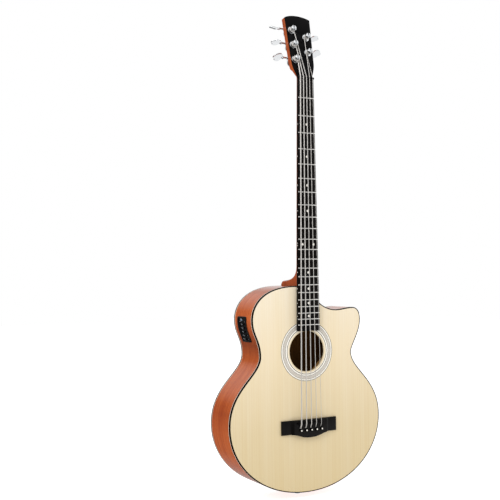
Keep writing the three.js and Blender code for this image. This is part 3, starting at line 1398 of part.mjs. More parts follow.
// A plate on the headstock's back, with the sleeve for its post and two ears for its worm.
function tunerPlate() {
  const width = earReach + EAR_THICKNESS + EAR_MARGIN;
  const low = -sleeveDiameter / 2 - PLATE_CORNER;
  const high = wormCentre + EAR_WIDTH / 2 + PLATE_CORNER / 2;
  const sheet = new THREE.ExtrudeGeometry(clipped(-width, width, low, high, PLATE_CORNER), {
    depth: PLATE_THICKNESS,
    bevelEnabled: false,
  }).translate(0, 0, plateBack);
  const within = plateBack + PLATE_THICKNESS / 2;
  const ear = (from) =>
    box(
      from, from + EAR_THICKNESS,
      wormCentre - EAR_WIDTH / 2, wormCentre + EAR_WIDTH / 2,
      -MESH_PLANE - EAR_WIDTH / 2, within,
    );
  const sleeve = rod(sleeveDiameter, within, backFace + SLEEVE_LENGTH);
  const postHole = rod(POST_DIAMETER + 2 * POST_CLEARANCE, plateBack - OVERRUN, OVERRUN);
  const shaftHole = rod(
    SHAFT_DIAMETER + 4 * POST_CLEARANCE, -width - OVERRUN, width + OVERRUN, SMALL_FACETS,
  )
    .rotateY(Math.PI / 2)
    .translate(0, wormCentre, -MESH_PLANE);
  return cut(joined(sheet, ear(earReach), ear(-earReach - EAR_THICKNESS), sleeve), postHole, shaftHole);
}

// A slotted string post with the worm wheel at its foot.
function tunerPost() {
  const waistTop = POST_WAIST_START + POST_WAIST_LENGTH;
  const top = waistTop + POST_HEAD_HEIGHT;
  const shoulder = (POST_DIAMETER - POST_WAIST_DIAMETER) / 2;
  const foot = -MESH_PLANE - WHEEL_THICKNESS / 2 - PLATE_THICKNESS / 2;
  const stem = turned([
    [0, foot],
    [POST_DIAMETER / 2, foot],
    [POST_DIAMETER / 2, POST_WAIST_START - shoulder],
    [POST_WAIST_DIAMETER / 2, POST_WAIST_START],
    [POST_WAIST_DIAMETER / 2, waistTop],
    [POST_HEAD_DIAMETER / 2, waistTop + POST_HEAD_HEIGHT * 0.25],
    [POST_HEAD_DIAMETER / 2, waistTop + POST_HEAD_HEIGHT * 0.75],
    [POST_HEAD_DIAMETER * 0.42, top],
    [0, top],
  ]);
  const slot = box(
    -POST_SLOT_WIDTH / 2, POST_SLOT_WIDTH / 2,
    -POST_HEAD_DIAMETER, POST_HEAD_DIAMETER,
    top - POST_SLOT_DEPTH, top + OVERRUN,
  );
  return cut(joined(stem, wormWheel().translate(0, 0, -MESH_PLANE)), slot);
}

// The outline of a key's three-lobed blade, pointing along x.
function bladeShape(from) {
  const shape = new THREE.Shape();
  const half = KEY_BLADE_WIDTH / 2;
  const along = (share) => from + KEY_BLADE_LENGTH * share;
  const stem = SHAFT_DIAMETER / 2;
  shape.moveTo(from - PLATE_THICKNESS, -stem);
  shape.bezierCurveTo(along(0.1), -stem, along(0.02), -half, along(0.4), -half);
  shape.bezierCurveTo(along(0.75), -half, along(0.78), -half * 0.5, along(0.66), -half * 0.42);
  shape.bezierCurveTo(along(1.05), -half * 0.62, along(1.05), half * 0.62, along(0.66), half * 0.42);
  shape.bezierCurveTo(along(0.78), half * 0.5, along(0.75), half, along(0.4), half);
  shape.bezierCurveTo(along(0.02), half, along(0.1), stem, from - PLATE_THICKNESS, stem);
  return shape;
}

// A key with its worm, shaft and collar. Its blade stands at its own angle about the shaft.
function tunerKey(reach, side, turn) {
  const bladeStart = reach + KEY_COLLAR_LENGTH;
  const shaftEnd = earReach + EAR_THICKNESS + EAR_MARGIN;
  const pieces = [
    rod(SHAFT_DIAMETER, -shaftEnd, bladeStart + PLATE_THICKNESS, SMALL_FACETS),
    rod(2 * wormRoot, -earReach + POST_CLEARANCE, earReach - POST_CLEARANCE, SMALL_FACETS),
    turned(
      [
        [0, reach],
        [KEY_COLLAR_DIAMETER * 0.4, reach],
        [KEY_COLLAR_DIAMETER / 2, reach + KEY_COLLAR_LENGTH * 0.3],
        [KEY_COLLAR_DIAMETER / 2, reach + KEY_COLLAR_LENGTH * 0.7],
        [KEY_COLLAR_DIAMETER * 0.3, bladeStart],
        [0, bladeStart],
      ],
      SMALL_FACETS,
    ),
  ].map((piece) => piece.rotateY((Math.PI / 2) * side));
  const blade = new THREE.ExtrudeGeometry(bladeShape(bladeStart), {
    depth: KEY_BLADE_THICKNESS,
    bevelEnabled: false,
    curveSegments: 4,
  }).translate(0, 0, -KEY_BLADE_THICKNESS / 2);
  if (side < 0) {
    blade.rotateY(Math.PI);
  }
  return joined(...pieces, wormThread(), blade.rotateX(turn));
}

for (const { number, side, x, y, keyTurn } of posts) {
  const place = new THREE.Group();
  place.position.set(x, y, 0);
  headstock.add(place);
  add(`tuner_plate_${number}`, tunerPlate(), CHROME, place);
  add(`tuner_post_${number}`, tunerPost(), CHROME, place);
  const key = tunerKey(KEY_COLLAR_REACH - Math.abs(x), side, keyTurn);
  add(`tuner_key_${number}`, key, CHROME, place).position.set(0, wormCentre, -MESH_PLANE);
}

// Side preamp: a frame in the rib, and a hinged panel that carries the faders and the battery.
// In its frame x runs down the body, y to the front and z out of the rib.
instrument.add(preampFrame);
const intoPreamp = preampFrame.matrix.clone().invert();
const flangeSkin = inset(-GLUE_LINE - PREAMP_FLANGE_THICKNESS);

// The flange's height over the preamp's plane, at a distance down the body from its middle.
function flangeHeightAt(distance) {
  const skin = flangeSkin.map((point) =>
    new THREE.Vector3(point.x, preampFrame.position.y, point.y).applyMatrix4(intoPreamp));
  const i = skin.findIndex((point, k) => k > 0 && point.x > distance);
  const above = skin[i - 1];
  return above.clone().lerp(skin[i], (distance - above.x) / (skin[i].x - above.x)).z;
}

const flangeTop = ribBulge + GLUE_LINE + PREAMP_FLANGE_THICKNESS;
const panelTop = Math.min(
  flangeHeightAt(-preampInside.length / 2), flangeHeightAt(preampInside.length / 2),
) - PANEL_RECESS;
{
  // The flange is bent with the rib, and the flat panel lies sunk between its sides.
  const bodyPlate = (points) =>
    plate(new THREE.Shape(points), -OVERRUN, BODY_DEPTH_TAIL + OVERRUN).applyMatrix4(intoPreamp);
  const body = bodyPlate(inset(-GLUE_LINE));
  const skin = bodyPlate(flangeSkin);
  const flange = new THREE.ExtrudeGeometry(
    clipped(
      -PREAMP_LENGTH / 2, PREAMP_LENGTH / 2, -PREAMP_WIDTH / 2, PREAMP_WIDTH / 2, PREAMP_FLANGE_MARGIN,
    ),
    { depth: flangeTop + OVERRUN, bevelEnabled: false },
  ).translate(0, 0, -OVERRUN);
  const { length, width } = preampWindow;
  const collar = box(
    -length / 2, length / 2, -width / 2, width / 2,
    -PREAMP_COLLAR_DEPTH, flangeTop + OVERRUN,
  );
  const window = box(
    -preampInside.length / 2, preampInside.length / 2,
    -preampInside.width / 2, preampInside.width / 2,
    -PREAMP_COLLAR_DEPTH - OVERRUN, flangeTop + OVERRUN,
  );
  const frame = common(joined(cut(flange, body), collar), skin);
  add("preamp_frame", cut(frame, window), BLACK_PLASTIC, preampFrame);
}

const sliderAt = (i) => (i - (SLIDER_COUNT - 1) / 2) * SLIDER_PITCH + SLIDER_ROW_OFFSET;
const sliderBack = panelTop - PANEL_THICKNESS - GLUE_LINE - SLIDER_FOOT_HEIGHT;

for (let i = 0; i < SLIDER_COUNT; i += 1) {
  const knobTop = panelTop + GLUE_LINE + SLIDER_KNOB_HEIGHT;
  const slab = (width, length, low, high) =>
    box(-width / 2, width / 2, -length / 2, length / 2, low, high).translate(sliderAt(i), 0, 0);
  const slider = joined(
    slab(SLIDER_KNOB_WIDTH, SLIDER_KNOB_LENGTH, panelTop + GLUE_LINE, knobTop),
    slab(SLIDER_STEM_WIDTH, SLIDER_STEM_LENGTH, sliderBack, knobTop),
    slab(SLIDER_KNOB_WIDTH, SLIDER_KNOB_LENGTH, sliderBack, sliderBack + SLIDER_FOOT_HEIGHT),
  );
  add(`preamp_slider_${i + 1}`, slider, FADER_GREY, preampFrame);
}

// Panel: a slotted sheet with two walls behind it that grip the battery
{
  const batterySide = -preampInside.width / 2 + BATTERY_HINGE_MARGIN;
  const batteryTop = sliderBack - GLUE_LINE;
  const sheet = box(
    -preampInside.length / 2 + PREAMP_CLEARANCE, preampInside.length / 2 - PREAMP_CLEARANCE,
    -preampInside.width / 2 + PREAMP_CLEARANCE, preampInside.width / 2 - PREAMP_CLEARANCE,
    panelTop - PANEL_THICKNESS, panelTop,
  );
  const cradleWall = (from) =>
    box(
      -BATTERY_LENGTH / 2, BATTERY_LENGTH / 2,
      from, from + CRADLE_WALL,
      batteryTop - CRADLE_DEPTH, panelTop - PANEL_THICKNESS / 2,
    );
  const cradle = [
    cradleWall(batterySide - GLUE_LINE - CRADLE_WALL),
    cradleWall(batterySide + BATTERY_WIDTH + GLUE_LINE),
  ];
  const slots = Array.from({ length: SLIDER_COUNT }, (_, i) => {
    const halfWidth = SLIDER_STEM_WIDTH / 2 + GLUE_LINE;
    const halfLength = (SLIDER_TRAVEL + SLIDER_STEM_LENGTH) / 2 + GLUE_LINE;
    return box(
      sliderAt(i) - halfWidth, sliderAt(i) + halfWidth, -halfLength, halfLength,
      panelTop - PANEL_THICKNESS - OVERRUN, panelTop + OVERRUN,
    );
  });
  add("preamp_panel", cut(joined(sheet, ...cradle), ...slots), BLACK_PLASTIC, preampFrame);
  add(
    "battery",
    box(
      -BATTERY_LENGTH / 2, BATTERY_LENGTH / 2,
      batterySide, batterySide + BATTERY_WIDTH,
      batteryTop - BATTERY_THICKNESS, batteryTop,
    ),
    BATTERY_WRAP,
    preampFrame,
  );
}

// Output jack: a socket through the tail that also holds the strap
{
  const high = JACK_INNER_LENGTH;
  const flange = -GLUE_LINE;
  const socket = turned([
    [JACK_BORE_DIAMETER / 2, flange - JACK_FLANGE_LENGTH - JACK_NECK_LENGTH - JACK_END_LENGTH],
    [JACK_END_DIAMETER / 2, flange - JACK_FLANGE_LENGTH - JACK_NECK_LENGTH - JACK_END_LENGTH],
    [JACK_END_DIAMETER / 2, flange - JACK_FLANGE_LENGTH - JACK_NECK_LENGTH],
    [JACK_BARREL_DIAMETER * 0.4, flange - JACK_FLANGE_LENGTH - JACK_NECK_LENGTH * 0.8],
    [JACK_BARREL_DIAMETER * 0.4, flange - JACK_FLANGE_LENGTH],
    [JACK_FLANGE_DIAMETER / 2, flange - JACK_FLANGE_LENGTH],
    [JACK_FLANGE_DIAMETER / 2, flange],
    [JACK_BARREL_DIAMETER / 2, flange],
    [JACK_BARREL_DIAMETER / 2, high],
    [JACK_BORE_DIAMETER / 2, high],
    [JACK_BORE_DIAMETER / 2, flange - JACK_FLANGE_LENGTH - JACK_NECK_LENGTH - JACK_END_LENGTH],
  ]);
  add(
    "output_jack",
    socket.translate(0, depthAt(BODY_TAIL) / 2, BODY_TAIL),
    CHROME,
  );
}

// Strap button: screwed into the treble side of the heel
{
  const base = GLUE_LINE;
  const button = turned([
    [0, -BUTTON_SCREW_LENGTH],
    [BUTTON_SCREW_DIAMETER / 2, -BUTTON_SCREW_LENGTH],
    [BUTTON_SCREW_DIAMETER / 2, base],
    [BUTTON_BASE_DIAMETER / 2, base],
    [BUTTON_NECK_DIAMETER / 2, base + BUTTON_LENGTH * 0.3],
    [BUTTON_NECK_DIAMETER / 2, base + BUTTON_LENGTH * 0.65],
    [BUTTON_END_DIAMETER / 2, base + BUTTON_LENGTH * 0.85],
    [BUTTON_END_DIAMETER / 2, base + BUTTON_LENGTH],
    [0, base + BUTTON_LENGTH],
  ]);
  add(
    "strap_button",
    button
      .rotateY(Math.PI / 2)
      .translate(HEEL_WIDTH / 2, HEEL_DEPTH * BUTTON_DEPTH_SHARE, BODY_TOP + BUTTON_RISE),
    CHROME,
  );
}

// The origin: on the centre line, half way through the headstock, where a hanger's arms hold it
const hangerLocal = new THREE.Vector3(0, HANGER_RISE, -HEADSTOCK_THICKNESS / 2);
const hanger = hangerLocal.applyMatrix4(headstock.matrix);
instrument.position.copy(hanger).negate();
const bass = new THREE.Group();
bass.add(instrument);

export default bass;
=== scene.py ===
"""The looks of a five-string acoustic-electric bass guitar with a single cutaway.

Sizes are in millimetres on the maker's drawing: x runs to the treble side, y runs back from the
soundboard's face and z runs up the neck from the nut's front edge.
"""

import math

import bpy
from mathutils import Matrix, Vector
from mathutils.geometry import interpolate_bezier


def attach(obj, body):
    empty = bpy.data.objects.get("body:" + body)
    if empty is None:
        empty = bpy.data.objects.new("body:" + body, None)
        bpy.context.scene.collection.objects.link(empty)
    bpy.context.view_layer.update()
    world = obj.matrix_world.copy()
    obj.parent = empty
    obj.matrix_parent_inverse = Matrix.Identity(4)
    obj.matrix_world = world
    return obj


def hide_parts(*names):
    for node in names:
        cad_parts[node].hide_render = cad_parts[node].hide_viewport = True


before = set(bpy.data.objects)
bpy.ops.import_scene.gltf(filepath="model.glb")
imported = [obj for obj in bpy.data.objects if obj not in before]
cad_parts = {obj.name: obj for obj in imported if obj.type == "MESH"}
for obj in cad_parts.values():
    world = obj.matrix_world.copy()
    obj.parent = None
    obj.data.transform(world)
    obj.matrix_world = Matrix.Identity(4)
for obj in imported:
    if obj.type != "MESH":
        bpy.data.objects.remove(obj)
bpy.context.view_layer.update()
bpy.ops.object.select_all(action="DESELECT")

# Camera
# It stands low and to the bass side, as the photographer did, with a lens of about 63 mm.
# The aim is the point on the instrument that the middle of the picture falls on.
MM = 0.001
DRAWING_ORIGIN = Vector((0, 4.5023, 17.1867))


def at(x, y, z):
    """A point of the maker's drawing, in metres in the instrument's frame."""
    return (Vector((x, y, z)) - DRAWING_ORIGIN) * MM


def aimed(location, yaw, pitch, roll):
    """A camera or lamp turned by yaw from straight ahead, pitch above level and roll."""
    level = Matrix.Rotation(-yaw, 4, "Z") @ Matrix.Rotation(math.pi / 2 + pitch, 4, "X")
    return Matrix.Translation(location) @ level @ Matrix.Rotation(roll, 4, "Z")


bpy.ops.object.camera_add()
camera = bpy.context.object
camera.name = "photographer"
camera.data.sensor_width = 36
camera.data.lens = 63.4
camera.matrix_world = aimed(
    at(-1177.44, -1898.39, -489.61),
    yaw=math.radians(28.193), pitch=math.radians(1.49), roll=math.radians(-0.619),
)
bpy.context.scene.camera = camera

# Studio
# A plain white floor and a white surround, one broad soft box at the left and a weaker one at
# the right. Gloss sees the studio round them: a bright ceiling, a white backdrop that ends at
# the left in a black flag, and the dim side of the room behind the camera.
FLOOR_HEIGHT = -1056.3
SURROUND = 0.7
DIM_ROOM = 0.1
scene = bpy.context.scene
scene.view_settings.view_transform = "Standard"


def paint(hex_colour):
    """An sRGB hex colour as linear red, green, blue and full cover."""
    parts = [int(hex_colour[i:i + 2], 16) / 255 for i in (1, 3, 5)]
    return (*[c / 12.92 if c <= 0.04045 else ((c + 0.055) / 1.055) ** 2.4 for c in parts], 1)


def node(tree, kind, inputs=None, ramp=None, **settings):
    """One node with its settings, its values and its links, and a ramp's stops where it has one."""
    made = tree.nodes.new(kind)
    for name, value in settings.items():
        setattr(made, name, value)
    for socket, value in (inputs or {}).items():
        if isinstance(value, bpy.types.NodeSocket):
            tree.links.new(value, made.inputs[socket])
        else:
            made.inputs[socket].default_value = value
    if ramp:
        stops = made.color_ramp.elements
        for i, (position, colour) in enumerate(ramp):
            stop = stops[i] if i < len(stops) else stops.new(position)
            stop.position = position
            stop.color = paint(colour)
    return made


world = bpy.data.worlds.new("studio")
scene.world = world
world.use_nodes = True
sky = world.node_tree
sky.nodes.clear()
path = node(sky, "ShaderNodeLightPath")
seen = node(sky, "ShaderNodeMath", {
    0: path.outputs["Is Camera Ray"], 1: path.outputs["Is Transmission Ray"],
}, operation="MAXIMUM")
towards = node(sky, "ShaderNodeSeparateXYZ", {0: node(sky, "ShaderNodeTexCoord").outputs["Generated"]})
backdrop = node(sky, "ShaderNodeMapRange", {0: towards.outputs[0], 1: -0.05, 2: 0.6})
behind = node(sky, "ShaderNodeMapRange", {0: towards.outputs[1], 1: -0.6, 2: -0.1})
ceiling = node(sky, "ShaderNodeMapRange", {0: towards.outputs[2], 1: 0.24, 2: 0.52})
sides = node(sky, "ShaderNodeMath", {0: backdrop.outputs[0], 1: behind.outputs[0]}, operation="MULTIPLY")
white_part = node(sky, "ShaderNodeMath", {0: sides.outputs[0], 1: ceiling.outputs[0]}, operation="MAXIMUM")
room = node(sky, "ShaderNodeMapRange", {0: white_part.outputs[0], 3: DIM_ROOM, 4: 1.0})
soft = node(sky, "ShaderNodeMix", {0: path.outputs["Is Glossy Ray"], 2: SURROUND, 3: room.outputs[0]})
level = node(sky, "ShaderNodeMix", {0: seen.outputs[0], 2: soft.outputs[0], 3: 1.0})
light = node(sky, "ShaderNodeBackground", {"Color": paint("#ffffff"), "Strength": level.outputs[0]})
node(sky, "ShaderNodeOutputWorld", {"Surface": light.outputs[0]})


def soft_box(name, location, yaw, pitch, size, watts):
    """A square studio lamp."""
    bpy.ops.object.light_add(type="AREA")
    lamp = bpy.context.object
    lamp.name = name
    lamp.data.size = size
    lamp.data.energy = watts
    lamp.matrix_world = aimed(location, math.radians(yaw), math.radians(pitch), 0)
    return lamp


soft_box("key_lamp", (-2.9, -2.0, 1.5), yaw=55, pitch=-32, size=1.8, watts=58)
soft_box("fill_lamp", (3.2, -1.6, 0.4), yaw=-63, pitch=-14, size=1.6, watts=16)

bpy.ops.mesh.primitive_plane_add(size=12)
floor = bpy.context.object
floor.name = "floor"
bpy.ops.transform.translate(value=at(0, 2000, FLOOR_HEIGHT))
bpy.ops.object.transform_apply(location=True)
white = bpy.data.materials.new("glowing_floor_white")
white.use_nodes = True
tree = white.node_tree
tree.nodes.clear()
# The floor glows, though it is no lamp. Its glow is painted bounce light on the instrument from below. In
# gloss it shows painted reflection, dim at the left and bright at the right.
path = node(tree, "ShaderNodeLightPath")
level = node(tree, "ShaderNodeMapRange", {0: path.outputs["Is Camera Ray"], 3: 0.45, 4: 0.8})
glow = node(tree, "ShaderNodeEmission", {"Color": paint("#ffffff"), "Strength": level.outputs[0]})
plain = node(tree, "ShaderNodeBsdfDiffuse", {"Color": paint("#d8d8d8")})
lit = node(tree, "ShaderNodeAddShader", {0: glow.outputs[0], 1: plain.outputs[0]})
place = node(tree, "ShaderNodeSeparateXYZ", {0: node(tree, "ShaderNodeTexCoord").outputs["Object"]})
painted_reflection_fade = node(tree, "ShaderNodeMapRange", {0: place.outputs[0], 1: -0.25, 2: 0.25, 3: DIM_ROOM, 4: 1.0})
mirrored = node(tree, "ShaderNodeEmission", {"Color": paint("#ffffff"), "Strength": painted_reflection_fade.outputs[0]})
both = node(tree, "ShaderNodeMixShader", {
    0: path.outputs["Is Glossy Ray"], 1: lit.outputs[0], 2: mirrored.outputs[0],
})
node(tree, "ShaderNodeOutputMaterial", {"Surface": both.outputs[0]})
floor.data.materials.append(white)

# Soundboard
# Two halves of one spruce billet, joined on the centre line with mirrored grain, under gloss
# lacquer. It has the sound hole, a shallow channel for the rosette and five notched pin holes.
SCALE = 864
NUT_TO_BODY = SCALE * (1 - 2 ** (-16 / 12)) + 2.4
BOARD_LENGTH = SCALE * (1 - 2 ** (-22 / 12)) + 15.5
BODY_LENGTH = 518.3
CUTAWAY_WALL = 29.5
CUTAWAY_WALL_FOOT = 493.8
BODY_TOP = -NUT_TO_BODY
BODY_TAIL = BODY_TOP - BODY_LENGTH
HOLE_Z = -(BOARD_LENGTH + 51.3)
HOLE_RADIUS = 51
TOP_THICKNESS = 3.5
BINDING_WIDTH = 2
SEAM = 0.02
ROSETTE = (54.5, 75.5)
ROSETTE_DEPTH = 1
PIN_Z = -(SCALE + 20)
SPRUCE_LIGHT = "#f9eed9"
SPRUCE_DARK = "#f5e7cd"

# Each side of the template as curves: where one starts, its two handles and where it ends, as
# reach from the centre line and height above the tail.
bass_template = [
    ((-30, 518.3), (-134.7, 518.3), (-156.2, 464.9), (-156.2, 434.8), 28),
    ((-156.2, 434.8), (-156.2, 397.3), (-134.4, 386.6), (-134.4, 345.6), 18),
    ((-134.4, 345.6), (-134.4, 299.7), (-220.7, 270.5), (-220.7, 178.8), 30),
    ((-220.7, 178.8), (-220.7, 82.2), (-131.1, 0), (0, 0), 40),
]
treble_template = [
    ((0, 0), (131.1, 0), (220.7, 82.2), (220.7, 178.8), 40),
    ((220.7, 178.8), (220.7, 270.5), (134.4, 299.7), (134.4, 345.6), 30),
    ((134.4, 345.6), (134.4, 359.7), (164.3, 395.5), (164.3, 428.8), 18),
    ((164.3, 428.8), (164.3, 444.8), (158.2, 460.8), (140, 460.8), 14),
    ((140, 460.8), (120, 460.8), (110, 456.1), (90, 456.1), 12),
    ((90, 456.1), (62.2, 456.1), (CUTAWAY_WALL, 473.8), (CUTAWAY_WALL, CUTAWAY_WALL_FOOT), 20),
]


def swept(corners, count):
    """Points along one curve on the drawing, from its start, two handles and end."""
    return [point.to_2d() for point in interpolate_bezier(*[Vector((*c, 0)) for c in corners], count)]


def traced(template):
    """A template's points, as reach and z, without its last one."""
    points = []
    for *corners, count in template:
        points += [Vector((point.x, BODY_TAIL + point.y)) for point in swept(corners, count + 1)[:-1]]
    return points


bass_rim = traced(bass_template)
treble_rim = traced(treble_template) + [
    Vector((CUTAWAY_WALL, BODY_TAIL + CUTAWAY_WALL_FOOT)), Vector((CUTAWAY_WALL, BODY_TOP)),
]
rim = bass_rim + treble_rim


def drawn_in(distance):
    """The rim moved inwards by a distance, corner for corner."""
    moved = []
    for i, point in enumerate(rim):
        into = (point - rim[i - 1]).normalized()
        away = (rim[(i + 1) % len(rim)] - point).normalized()
        normal = Vector((-into.y - away.y, into.x + away.x)).normalized()
        moved.append(point + normal * distance / normal.dot(Vector((-into.y, into.x))))
    return moved


def circle(x, z, radius, count=96, start=0.0, turn=math.tau):
    """Points on a circle or a part of one."""
    angles = [start + turn * i / count for i in range(count)]
    return [Vector((x + radius * math.cos(a), z + radius * math.sin(a))) for a in angles]


def joined(name, pieces):
    """Several pieces as one mesh."""
    bpy.ops.object.select_all(action="DESELECT")
    for piece in pieces:
        piece.select_set(True)
    bpy.context.view_layer.objects.active = pieces[0]
    if len(pieces) > 1:
        bpy.ops.object.join()
    pieces[0].name = name
    return pieces[0]


def faced_out(piece):
    """A closed piece with all its faces turned outwards."""
    chosen(piece)
    bpy.ops.object.mode_set(mode="EDIT")
    bpy.ops.mesh.select_all(action="SELECT")
    bpy.ops.mesh.normals_make_consistent(inside=False)
    bpy.ops.object.mode_set(mode="OBJECT")
    return piece


def plate(name, loops, near, far):
    """A sheet sawn to the first loop, with the others as holes, from one depth to another."""
    rings = []
    for loop in loops:
        bpy.ops.mesh.primitive_circle_add(vertices=len(loop))
        rings.append(bpy.context.object)
        for vertex, point in zip(rings[-1].data.vertices, loop):
            vertex.co = at(point[0], near, point[1])
    piece = joined(name, rings)
    bpy.ops.object.mode_set(mode="EDIT")
    bpy.ops.mesh.select_all(action="SELECT")
    bpy.ops.mesh.fill(use_beauty=True)
    bpy.ops.mesh.extrude_region_move(TRANSFORM_OT_translate={"value": (0, (far - near) * MM, 0)})
    bpy.ops.object.mode_set(mode="OBJECT")
    return faced_out(piece)


def lofted(name, rings, closed_run=False):
    """A skin through rings of points, capped at both ends unless the run of rings closes."""
    rows = rings + rings[:1] if closed_run else rings
    around = len(rings[0])
    bpy.ops.mesh.primitive_grid_add(x_subdivisions=around, y_subdivisions=len(rows) - 1)
    piece = bpy.context.object
    piece.name = name
    for vertex in piece.data.vertices:
        row, column = divmod(vertex.index, around + 1)
        vertex.co = rows[row][column % around]
    bpy.ops.object.mode_set(mode="EDIT")
    bpy.ops.mesh.select_all(action="SELECT")
    bpy.ops.mesh.remove_doubles(threshold=1e-7)
    bpy.ops.mesh.fill_holes(sides=0)
    bpy.ops.object.mode_set(mode="OBJECT")
    return faced_out(piece)


def chosen(piece):
    """The one selected and active piece."""
    bpy.ops.object.select_all(action="DESELECT")
    piece.select_set(True)
    bpy.context.view_layer.objects.active = piece
    return piece


def worked(piece, kind, **settings):
    """A piece with one modifier applied."""
    chosen(piece)
    modifier = piece.modifiers.new(kind.lower(), kind)
    for name, value in settings.items():
        setattr(modifier, name, value)
    bpy.ops.object.modifier_apply(modifier=modifier.name)
    return piece


def cut(piece, *tools, operation="DIFFERENCE"):
    """A piece with the room of each tool sawn out of it, or else added to it or alone kept."""
    for tool in tools:
        worked(piece, "BOOLEAN", operation=operation, solver="EXACT", object=tool)
        bpy.data.objects.remove(tool)
    return piece


def eased(piece, width, segments=2, sharper_than=35):
    """A piece with its sharp edges rounded."""
    return worked(
        piece, "BEVEL", width=width * MM, segments=segments, limit_method="ANGLE",
        angle_limit=math.radians(sharper_than), harden_normals=False, miter_outer="MITER_ARC",
    )


def shaded(piece, *materials, angle=32):
    """A piece with its finish on, smooth except over edges sharper than the angle."""
    piece.data.materials.clear()
    for material in materials:
        piece.data.materials.append(material)
    chosen(piece)
    bpy.ops.object.shade_smooth_by_angle(angle=math.radians(angle))
    return piece


def finish(name, roughness, metallic=0.0, gloss=0.5):
    """An empty finish, with its shader and the point of the surface in metres."""
    material = bpy.data.materials.new(name)
    material.use_nodes = True
    tree = material.node_tree
    tree.nodes.clear()
    shader = node(tree, "ShaderNodeBsdfPrincipled", {
        "Roughness": roughness, "Metallic": metallic, "Specular IOR Level": gloss,
    })
    node(tree, "ShaderNodeOutputMaterial", {"Surface": shader.outputs[0]})
    place = node(tree, "ShaderNodeTexCoord").outputs["Object"]
    return material, tree, shader, place


def layered(tree, pattern, stops, layers):
    """A colour along one pattern, darkened along others, each with its share and its stops."""
    colour = node(tree, "ShaderNodeValToRGB", {0: pattern}, ramp=stops).outputs[0]
    for share, pattern, stops in layers:
        over = node(tree, "ShaderNodeValToRGB", {0: pattern}, ramp=stops)
        colour = node(tree, "ShaderNodeMix", {
            0: share, 6: colour, 7: over.outputs[0],
        }, data_type="RGBA", blend_type="MULTIPLY").outputs[2]
    return colour


def spruce_finish():
    """Lacquered spruce: pale straight grain lines that the real one has every 1.5 mm, drawn about
    twice as coarse so that they show, in cream. The cream is painted darker towards the tail and
    lighter towards the neck, as painted shade."""
    material, tree, shader, place = finish("lacquered_spruce", 0.3, gloss=0.3)
    parts = node(tree, "ShaderNodeSeparateXYZ", {0: place})
    mirrored = node(tree, "ShaderNodeMath", {0: parts.outputs[0]}, operation="ABSOLUTE")
    halves = node(tree, "ShaderNodeCombineXYZ", {
        0: mirrored.outputs[0], 1: parts.outputs[1], 2: parts.outputs[2],
    }).outputs[0]
    grain, tone, silk = [
        node(tree, "ShaderNodeTexNoise", {
            "Vector": node(tree, "ShaderNodeMapping", {"Vector": halves, "Scale": stretch}).outputs[0],
            "Scale": 1.0, "Detail": detail,
        }).outputs[0]
        for stretch, detail in (((420, 10, 1.6), 3.0), ((30, 4, 2), 2.0), ((40, 20, 220), 2.0))
    ]
    # Painted shade: a ramp on height darkens the cream from the neck down to the tail.
    height = node(tree, "ShaderNodeMapRange", {
        0: parts.outputs[2], 1: at(0, 0, BODY_TAIL).z, 2: at(0, 0, BODY_TOP).z,
    })
    colour = layered(tree, grain, [(0.32, SPRUCE_DARK), (0.56, SPRUCE_LIGHT)], [
        (1.0, tone, [(0.35, "#fdfbf5"), (0.65, "#ffffff")]),
        (1.0, height.outputs[0], [(0.0, "#e0d7bd"), (0.3, "#e5ddc7"), (0.7, "#f6f0e3"), (1.0, "#fcfbfa")]),
    ])
    sheen = node(tree, "ShaderNodeMapRange", {0: silk, 3: 0.26, 4: 0.36})
    relief = node(tree, "ShaderNodeBump", {"Height": grain, "Strength": 0.08, "Distance": 0.0002})
    tree.links.new(colour, shader.inputs["Base Color"])
    tree.links.new(sheen.outputs[0], shader.inputs["Roughness"])
    tree.links.new(relief.outputs[0], shader.inputs["Normal"])
    return material


spruce = spruce_finish()

SADDLE_SPACING = 14.8
PIN_SPACING = 15.2
PIN_OFFSET = 3
PIN_SHANK = 2.5
PIN_CLEARANCE = 0.3
STRING_TO_PIN = 5.4
STRING_DIAMETERS = (3.2, 2.65, 2.15, 1.65, 1.15)
STRING_CLEARANCE = 0.3
pins = []
for place, diameter in zip(range(-2, 3), STRING_DIAMETERS):
    pin_x = place * PIN_SPACING + PIN_OFFSET
    saddle_x = place * SADDLE_SPACING
    room = PIN_SHANK + PIN_CLEARANCE - diameter / 2 - STRING_CLEARANCE
    pins.append({
        "number": place + 3, "diameter": diameter, "pin_x": pin_x, "saddle_x": saddle_x,
        "string_x": pin_x + max(-room, min(room, saddle_x - pin_x)),
    })


def pin_hole(pin):
    """A pin's round hole with the notch in front of it that its string goes down."""
    radius = PIN_SHANK + PIN_CLEARANCE
    notch = pin["diameter"] / 2 + STRING_CLEARANCE
    left = pin["string_x"] - notch - pin["pin_x"]
    right = pin["string_x"] + notch - pin["pin_x"]
    top = PIN_Z + STRING_TO_PIN
    start = math.acos(max(-1, min(1, right / radius)))
    end = math.acos(max(-1, min(1, left / radius)))
    throat = circle(pin["string_x"], top, notch, count=9, start=math.pi, turn=-math.pi * 9 / 8)
    arc = circle(pin["pin_x"], PIN_Z, radius, count=20, start=start, turn=-(math.tau - end + start))
    return throat + arc


soundboard = plate(
    "soundboard_top",
    [drawn_in(BINDING_WIDTH + SEAM), circle(0, HOLE_Z, HOLE_RADIUS), *[pin_hole(pin) for pin in pins]],
    0, TOP_THICKNESS,
)


def flat_ring(name, inner, outer, near, far, count=96):
    """A flat ring round the sound hole, lofted from its four-cornered section."""
    return lofted(name, [
        [at(r * math.cos(a), y, HOLE_Z + r * math.sin(a)) for r, y in (
            (inner, near), (outer, near), (outer, far), (inner, far),
        )]
        for a in [math.tau * i / count for i in range(count)]
    ], closed_run=True)


cut(soundboard, flat_ring("channel", *ROSETTE, -3, ROSETTE_DEPTH))
shaded(soundboard, spruce)
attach(soundboard, "instrument")
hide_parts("soundboard")

